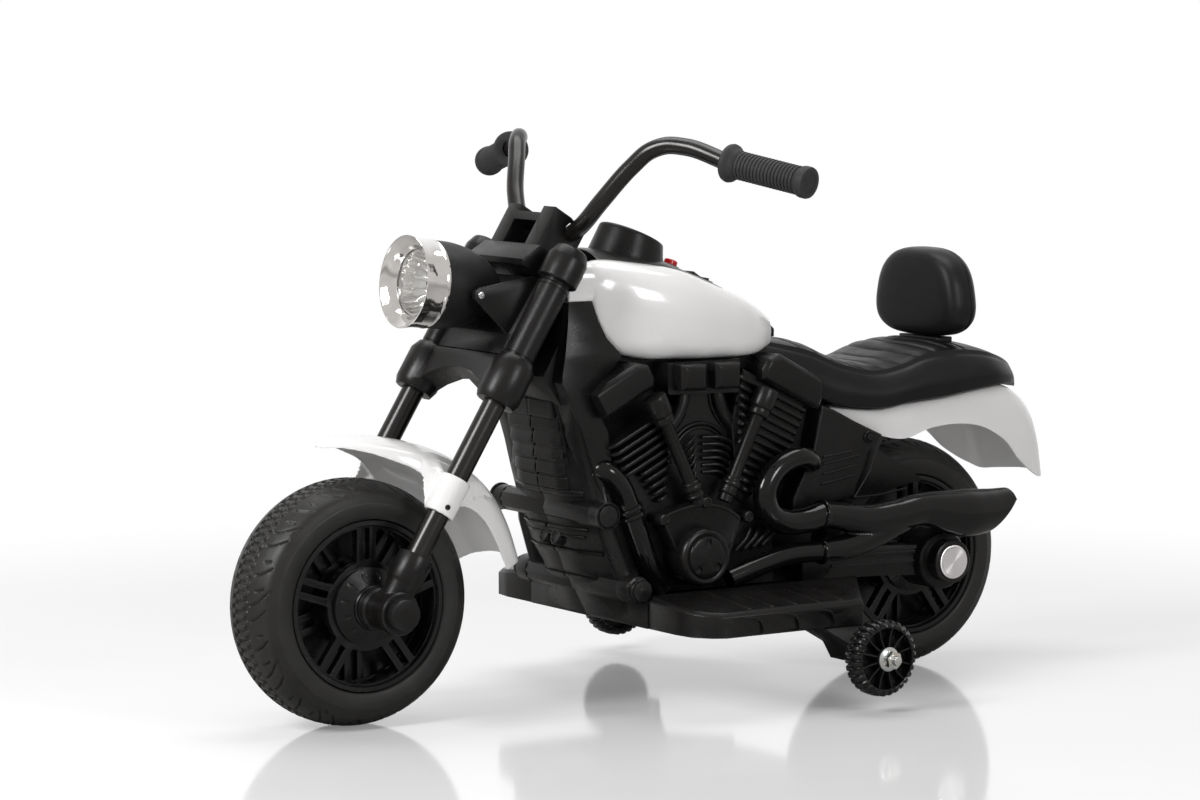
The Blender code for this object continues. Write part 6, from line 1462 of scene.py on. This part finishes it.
def side_panel():
    """The plate with its four thin ribs, its round boss and the raised rod with a ball at its foot."""
    face = PANEL_FACE
    plate = raised(PANEL_OUTLINE, flat, ((ENGINE_INNER, 0), (face - 3.5, 0), (face - 1.2, 0.9),
        (face, 3.2)))
    made = [softened(plate, 0.8, 2)]
    for (x0, z0), (x1, z1) in PANEL_RIBS:
        made.append(tube([(x0, face, z0), ((x0 + x1) / 2, face + 0.3, (z0 + z1) / 2), (x1, face - 0.2, z1)],
            1.6, 16))
    x, z = PANEL_BOSS
    made.append(turned([(7.2, face - 2), (7.2, face + 1), (6.6, face + 1.8), (5.8, face + 1.8),
        (5.2, face + 0.8), (4.8, face + 0.8), (4.4, face + 2.6), (3.4, face + 3.4), (0.0, face + 3.6)],
        (x, 0, z), steps=48))
    top, knee, foot, middle, tail = (Vector((x, face + 0.4, z)) for x, z in PANEL_ROD)
    made.append(pipe([top, knee, foot], 1.3, 6, 16, corners=(1,)))
    made.append(pipe([foot, middle, tail], 1.3, 6, 16))
    ball = [(2.6 * sin(pi * k / 10), -2.6 * cos(pi * k / 10)) for k in range(11)]
    made.append(turned(ball, foot, steps=24))
    both("side_panel", joined(*made), "satin_black", "frame")


def scoop_lips():
    outer = box_of("footboard_left")[1].y
    lips = []
    for x in SCOOPS:
        path = smooth([(x + a, outer - 0.2, z) for a, z in SCOOP_LIP], 5)
        sizes = [0.4 + sin(pi * (k + 0.5) / len(path)) for k in range(len(path))]
        lips.append(tube(path, sizes, 14))
    both("scoop_lip", joined(*lips), "satin_black", "frame")


# Stabiliser wheels and the round metal pieces

TRAINER_RADIUS = 41.3
TRAINER_HALF_WIDTH = 13
TRAINER_LUGS = 30
TRAINER_SPOKES = 12
TRAINER_SPOKE_WIDTH = 1.8
TRAINER_BARREL = 33
TRAINER_HUB = 12.5
TRAINER_LUG_DEPTH = 3


def box_of(name):
    """The low and the high corner of a node's box, in the drawing's place."""
    return [Vector(corner) / MM - Vector((AXLE_X, 0, 0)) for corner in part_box(name)]


def trainer_lugs(turn, radius, distance):
    """How far the tread falls between two cross lugs."""
    if radius < TRAINER_RADIUS - 6:
        return np.zeros(len(turn))
    wave = np.sin(turn * TRAINER_LUGS + 0.5 * np.sign(distance))
    return -TRAINER_LUG_DEPTH * (0.5 + 0.5 * np.tanh(3.2 * (wave - 0.25)))


def trainer_wheel():
    low, high = box_of("trainer_wheel_left")
    centre = (low + high) / 2
    outer, half, barrel = TRAINER_RADIUS, TRAINER_HALF_WIDTH, TRAINER_BARREL
    profile = [(barrel, -half + 1), (barrel + 1.5, -half), (outer - 5.2, -half), (outer - 2.2, -half + 2.2),
        (outer - 0.4, -half + 5), (outer, -1), (outer - 1.6, -0.4), (outer - 1.6, 0.8), (outer, 1.4),
        (outer - 0.4, half - 5), (outer - 2.2, half - 2.2), (outer - 5.2, half), (barrel + 1.5, half),
        (barrel, half - 1)]
    ring = turned(profile, centre, steps=480, ring=True, relief=trainer_lugs)
    web = turned([(barrel + 1, -3), (barrel + 1, 0.0), (1, 0.0), (1, -3)][::-1], centre, steps=64)
    hub = turned([(0.0, -half), (TRAINER_HUB - 1, -half), (TRAINER_HUB, -half + 1), (TRAINER_HUB, half - 1),
        (TRAINER_HUB - 1, half), (0.0, half)], centre, steps=64)
    spokes = []
    for k in range(TRAINER_SPOKES):
        turn = 2 * pi * (k + 0.5) / TRAINER_SPOKES
        out = Vector((cos(turn), 0, sin(turn)))
        side = Vector((-out.z, 0, out.x)) * (TRAINER_SPOKE_WIDTH / 2)
        rows = []
        for reach, drop in ((TRAINER_HUB - 1, 2), (0.5 * (TRAINER_HUB + barrel), 4.2), (barrel + 1, 3)):
            base, top = centre + out * reach - ACROSS, centre + out * reach + ACROSS * (half - drop)
            rows.append([base - side, base + side, top + side, top + side * 0.4 + ACROSS * 0.4,
                top - side * 0.4 + ACROSS * 0.4, top - side])
        spokes.append(skin(rows))
    wheel = joined(ring, web, hub, *spokes)
    for side, shape in (("right", flipped(copied(wheel))), ("left", wheel)):
        piece(f"trainer_wheel_{side}_moulding", shape, "wheel_black", f"{side}_trainer",
            f"trainer_wheel_{side}")


def trainer_nuts():
    """The stabilisers' flanged nuts with their plastic inserts."""
    low, high = box_of("trainer_nut_left")
    centre, span = Vector(((low.x + high.x) / 2, low.y, (low.z + high.z) / 2)), high.y - low.y
    flange, hexagon, bore = (high.z - low.z) / 2, 9.8, 5
    shape = [turned([(bore, 0), (flange - 0.4, 0), (flange, 0.4), (flange, 1.3), (flange - 0.6, 1.9),
        (hexagon - 0.6, 3.4), (hexagon - 1, 3.6), (bore, 3.6)], centre, steps=64, ring=True)]
    corners = [(centre.x + hexagon * cos(pi * k / 3 + 0.3), centre.z + hexagon * sin(pi * k / 3 + 0.3))
        for k in range(6)]
    block = prism(corners, centre.y + 2.6, centre.y + span)
    keep = turned([(0.0, 0), (20, 0), (20, span - 7.5), (hexagon * 0.885, span), (0.0, span)], centre,
        steps=64)
    combine(block, [keep], "INTERSECT")
    bolt_hole = rod(bore, centre - ACROSS * span, centre + ACROSS * 2 * span, 48)
    shape.append(softened(cut(block, bolt_hole), 0.4, 2))
    shape.append(turned([(bore, span - 0.4), (hexagon * 0.72, span - 0.4), (hexagon * 0.74, span),
        (hexagon * 0.7, span + 1.2), (bore + 0.6, span + 1.4), (bore, span + 1)], centre, steps=48,
        ring=True))
    both("trainer_nut_turned", joined(*shape), "zinc_steel", "frame", "trainer_nut")


def rear_axle_caps():
    """The turned metal caps of the rear axle, each in its black ring."""
    low, high = box_of("rear_axle_cap_left")
    centre = Vector(((low.x + high.x) / 2, low.y, (low.z + high.z) / 2))
    length, radius = high.y - low.y, (high.z - low.z) / 2
    both("rear_axle_cap_turned", turned([(0.0, 0), (radius, 0), (radius, length - 1.6),
        (radius - 0.4, length - 0.7), (radius - 1.4, length - 0.1), (radius - 2, length - 0.1),
        (radius - 2.4, length - 0.4), (radius - 3, length - 0.4), (radius - 3.4, length), (0.0, length)],
        centre, steps=96), "brushed_steel", "frame", "rear_axle_cap")
    both("rear_axle_ring", turned([(radius + 0.3, length * 0.15), (radius + 5.2, length * 0.15),
        (radius + 5.6, length * 0.35), (radius + 5, length * 0.62), (radius + 3.6, length * 0.72),
        (radius + 0.8, length * 0.66), (radius + 0.3, length * 0.6)], centre, steps=96, ring=True),
        "satin_black", "frame")


# Pieces whose solids already have their shape: the same faces with rounded edges

# Piece, node, finish, body, width and steps of the rounding
SOFTENED = (
    ("headlight_bracket_panel", "headlight_bracket", "satin_black", "steering", 0.7, 2),
    ("lower_yoke", "lower_clamp", "satin_black", "steering", 1, 3),
    ("upper_yoke", "top_clamp", "satin_black", "steering", 1, 3),
    ("start_button_cap", "start_button", "red_plastic", "start_button", 0.5, 2),
    ("rocker_cap", "power_switch", "wheel_black", "power_switch", 0.5, 2),
    ("foot_pedal_plate", "foot_pedal", "satin_black", "foot_pedal", 0.6, 2),
    ("backrest_post_moulding", "backrest_post", "satin_black", "frame", 1, 2),
)
# The same for the pieces with a left and a right node
SOFTENED_PAIRS = (("body", "satin_black", 0.7), ("swing_arm", "satin_black", 0.8),
    ("footboard", "satin_black", 0.9), ("trainer_bracket", "satin_black", 1),
    ("trainer_bolt", "zinc_steel", 0.5))
HIDDEN = (("battery", "grey_case"), ("speaker", "grey_case"), ("drive_gearbox", "grey_case"),
    ("steering_stem", "zinc_steel"), ("front_axle", "zinc_steel"), ("rear_axle", "zinc_steel"),
    ("pedal_pin", "zinc_steel"))


def plain_pieces():
    for name, source, finish, body, width, segments in SOFTENED:
        shape = softened(node_copy(source), width, segments)
        if source == "start_button":
            shape = moved(shape, (0, 0, BUTTON_RISE))
        piece(name, shape, finish, body, source)
    for side in ("left", "right"):
        for name, finish, width in SOFTENED_PAIRS:
            source = f"{name}_{side}"
            piece(f"{source}_moulding", softened(node_copy(source), width), finish, "frame", source)
    for name, finish in HIDDEN:
        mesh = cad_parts[name].data
        mesh.materials.clear()
        mesh.materials.append(MATERIALS[finish][0])


# Floor, light and camera

def studio_floor():
    """A pale glossy floor that fades to white away from the bike."""
    floor = box(-FLOOR_REACH, FLOOR_REACH, -FLOOR_REACH, FLOOR_REACH, -20, 0)
    floor.name = "studio_floor"
    material, tree, shader = plain("studio_floor")
    rays = node(tree, "ShaderNodeLightPath")
    pale = mix_colours(tree, noise(tree, 3, 2), (0.82, 0.82, 0.82), (0.84, 0.84, 0.84))
    feed(tree, shader, Base_Color=mix_colours(tree, rays.outputs["Is Glossy Ray"], pale, FLOOR_IN_SHINE),
        Roughness=noise(tree, 6, 3, to=(0.07, 0.11)))
    away = node(tree, "ShaderNodeVectorMath", operation="LENGTH")
    tree.links.new(node(tree, "ShaderNodeTexCoord").outputs["Object"], away.inputs[0])
    fade = ramp(tree, away.outputs["Value"], *FLOOR_FADE, (FLOOR_LIFT, 1.0),
        interpolation_type="SMOOTHSTEP")
    share = node(tree, "ShaderNodeMath", operation="MULTIPLY")
    glow = node(tree, "ShaderNodeEmission", Strength=1.0)
    blend = node(tree, "ShaderNodeMixShader")
    for output, target in ((rays.outputs["Is Camera Ray"], share.inputs[0]), (fade, share.inputs[1]),
            (share.outputs[0], blend.inputs[0]), (shader.outputs[0], blend.inputs[1]),
            (glow.outputs[0], blend.inputs[2]), (blend.outputs[0],
            tree.nodes["Material Output"].inputs["Surface"])):
        tree.links.new(output, target)
    floor.data.materials.append(material)


def room():
    """A room that the camera sees as white; it lights the bike dimly, and brightly only from behind."""
    world = bpy.data.worlds.new("studio")
    bpy.context.scene.world = world
    world.use_nodes = True
    tree = world.node_tree
    ground = tree.nodes["Background"]
    ground.inputs["Strength"].default_value = 1.0
    rays = node(tree, "ShaderNodeLightPath")
    direction = node(tree, "ShaderNodeTexCoord").outputs["Generated"]
    facing = node(tree, "ShaderNodeVectorMath", operation="DOT_PRODUCT")
    facing.inputs[1].default_value = (cos(CAMERA_YAW), sin(CAMERA_YAW), 0)
    tree.links.new(direction, facing.inputs[0])
    glow = ramp(tree, facing.outputs["Value"], 0.35, 0.9, (ROOM_GLOW, 1.0))
    shine = mix_colours(tree, glow, ROOM_IN_SHINE, (1.0, 1.0, 1.0))
    lit = mix_colours(tree, rays.outputs["Is Glossy Ray"], glow, shine)
    seen = mix_colours(tree, rays.outputs["Is Camera Ray"], lit, (1.0, 1.0, 1.0))
    tree.links.new(seen, ground.inputs["Color"])


def soft_boxes():
    for name, place, target, size, watts in SOFT_BOXES:
        light = bpy.data.lights.new(name, "AREA")
        light.shape = "RECTANGLE"
        light.size, light.size_y = size
        light.energy = watts
        holder = bpy.data.objects.new(name, light)
        holder.location = place
        holder.rotation_euler = (Vector(target) - Vector(place)).to_track_quat("-Z", "Y").to_euler()
        bpy.context.scene.collection.objects.link(holder)


def camera():
    """The photograph's own view: a long lens, a little above the bike's middle, ahead of its left side."""
    lens = bpy.data.cameras.new("camera")
    lens.lens = CAMERA_LENS
    lens.clip_end = 100
    holder = bpy.data.objects.new("camera", lens)
    level = cos(CAMERA_PITCH)
    look = Vector((cos(CAMERA_YAW) * level, sin(CAMERA_YAW) * level, -sin(CAMERA_PITCH)))
    holder.location = Vector(CAMERA_PLACE) + FORWARD * (AXLE_X * MM)
    holder.rotation_euler = look.to_track_quat("-Z", "Y").to_euler()
    bpy.context.scene.collection.objects.link(holder)
    bpy.context.scene.camera = holder
    bpy.context.scene.view_settings.view_transform = "Standard"


camera()
tyre("front_tyre", FRONT_AXLE, "front_wheel")
tyre("rear_tyre", REAR_AXLE, "rear_wheel")
rim("front_rim", FRONT_AXLE, "front_wheel")
rim("rear_rim", REAR_AXLE, "rear_wheel")
fork()
handlebar()
headlight()
lamp_screws()
front_fender()
tank_covers()
console()
gauge_pod()
seat()
backrest()
rear_fender()
exhaust()
engine()
cowl_details()
pipe_caps()
side_panel()
scoop_lips()
trainer_wheel()
trainer_nuts()
rear_axle_caps()
plain_pieces()
studio_floor()
room()
soft_boxes()
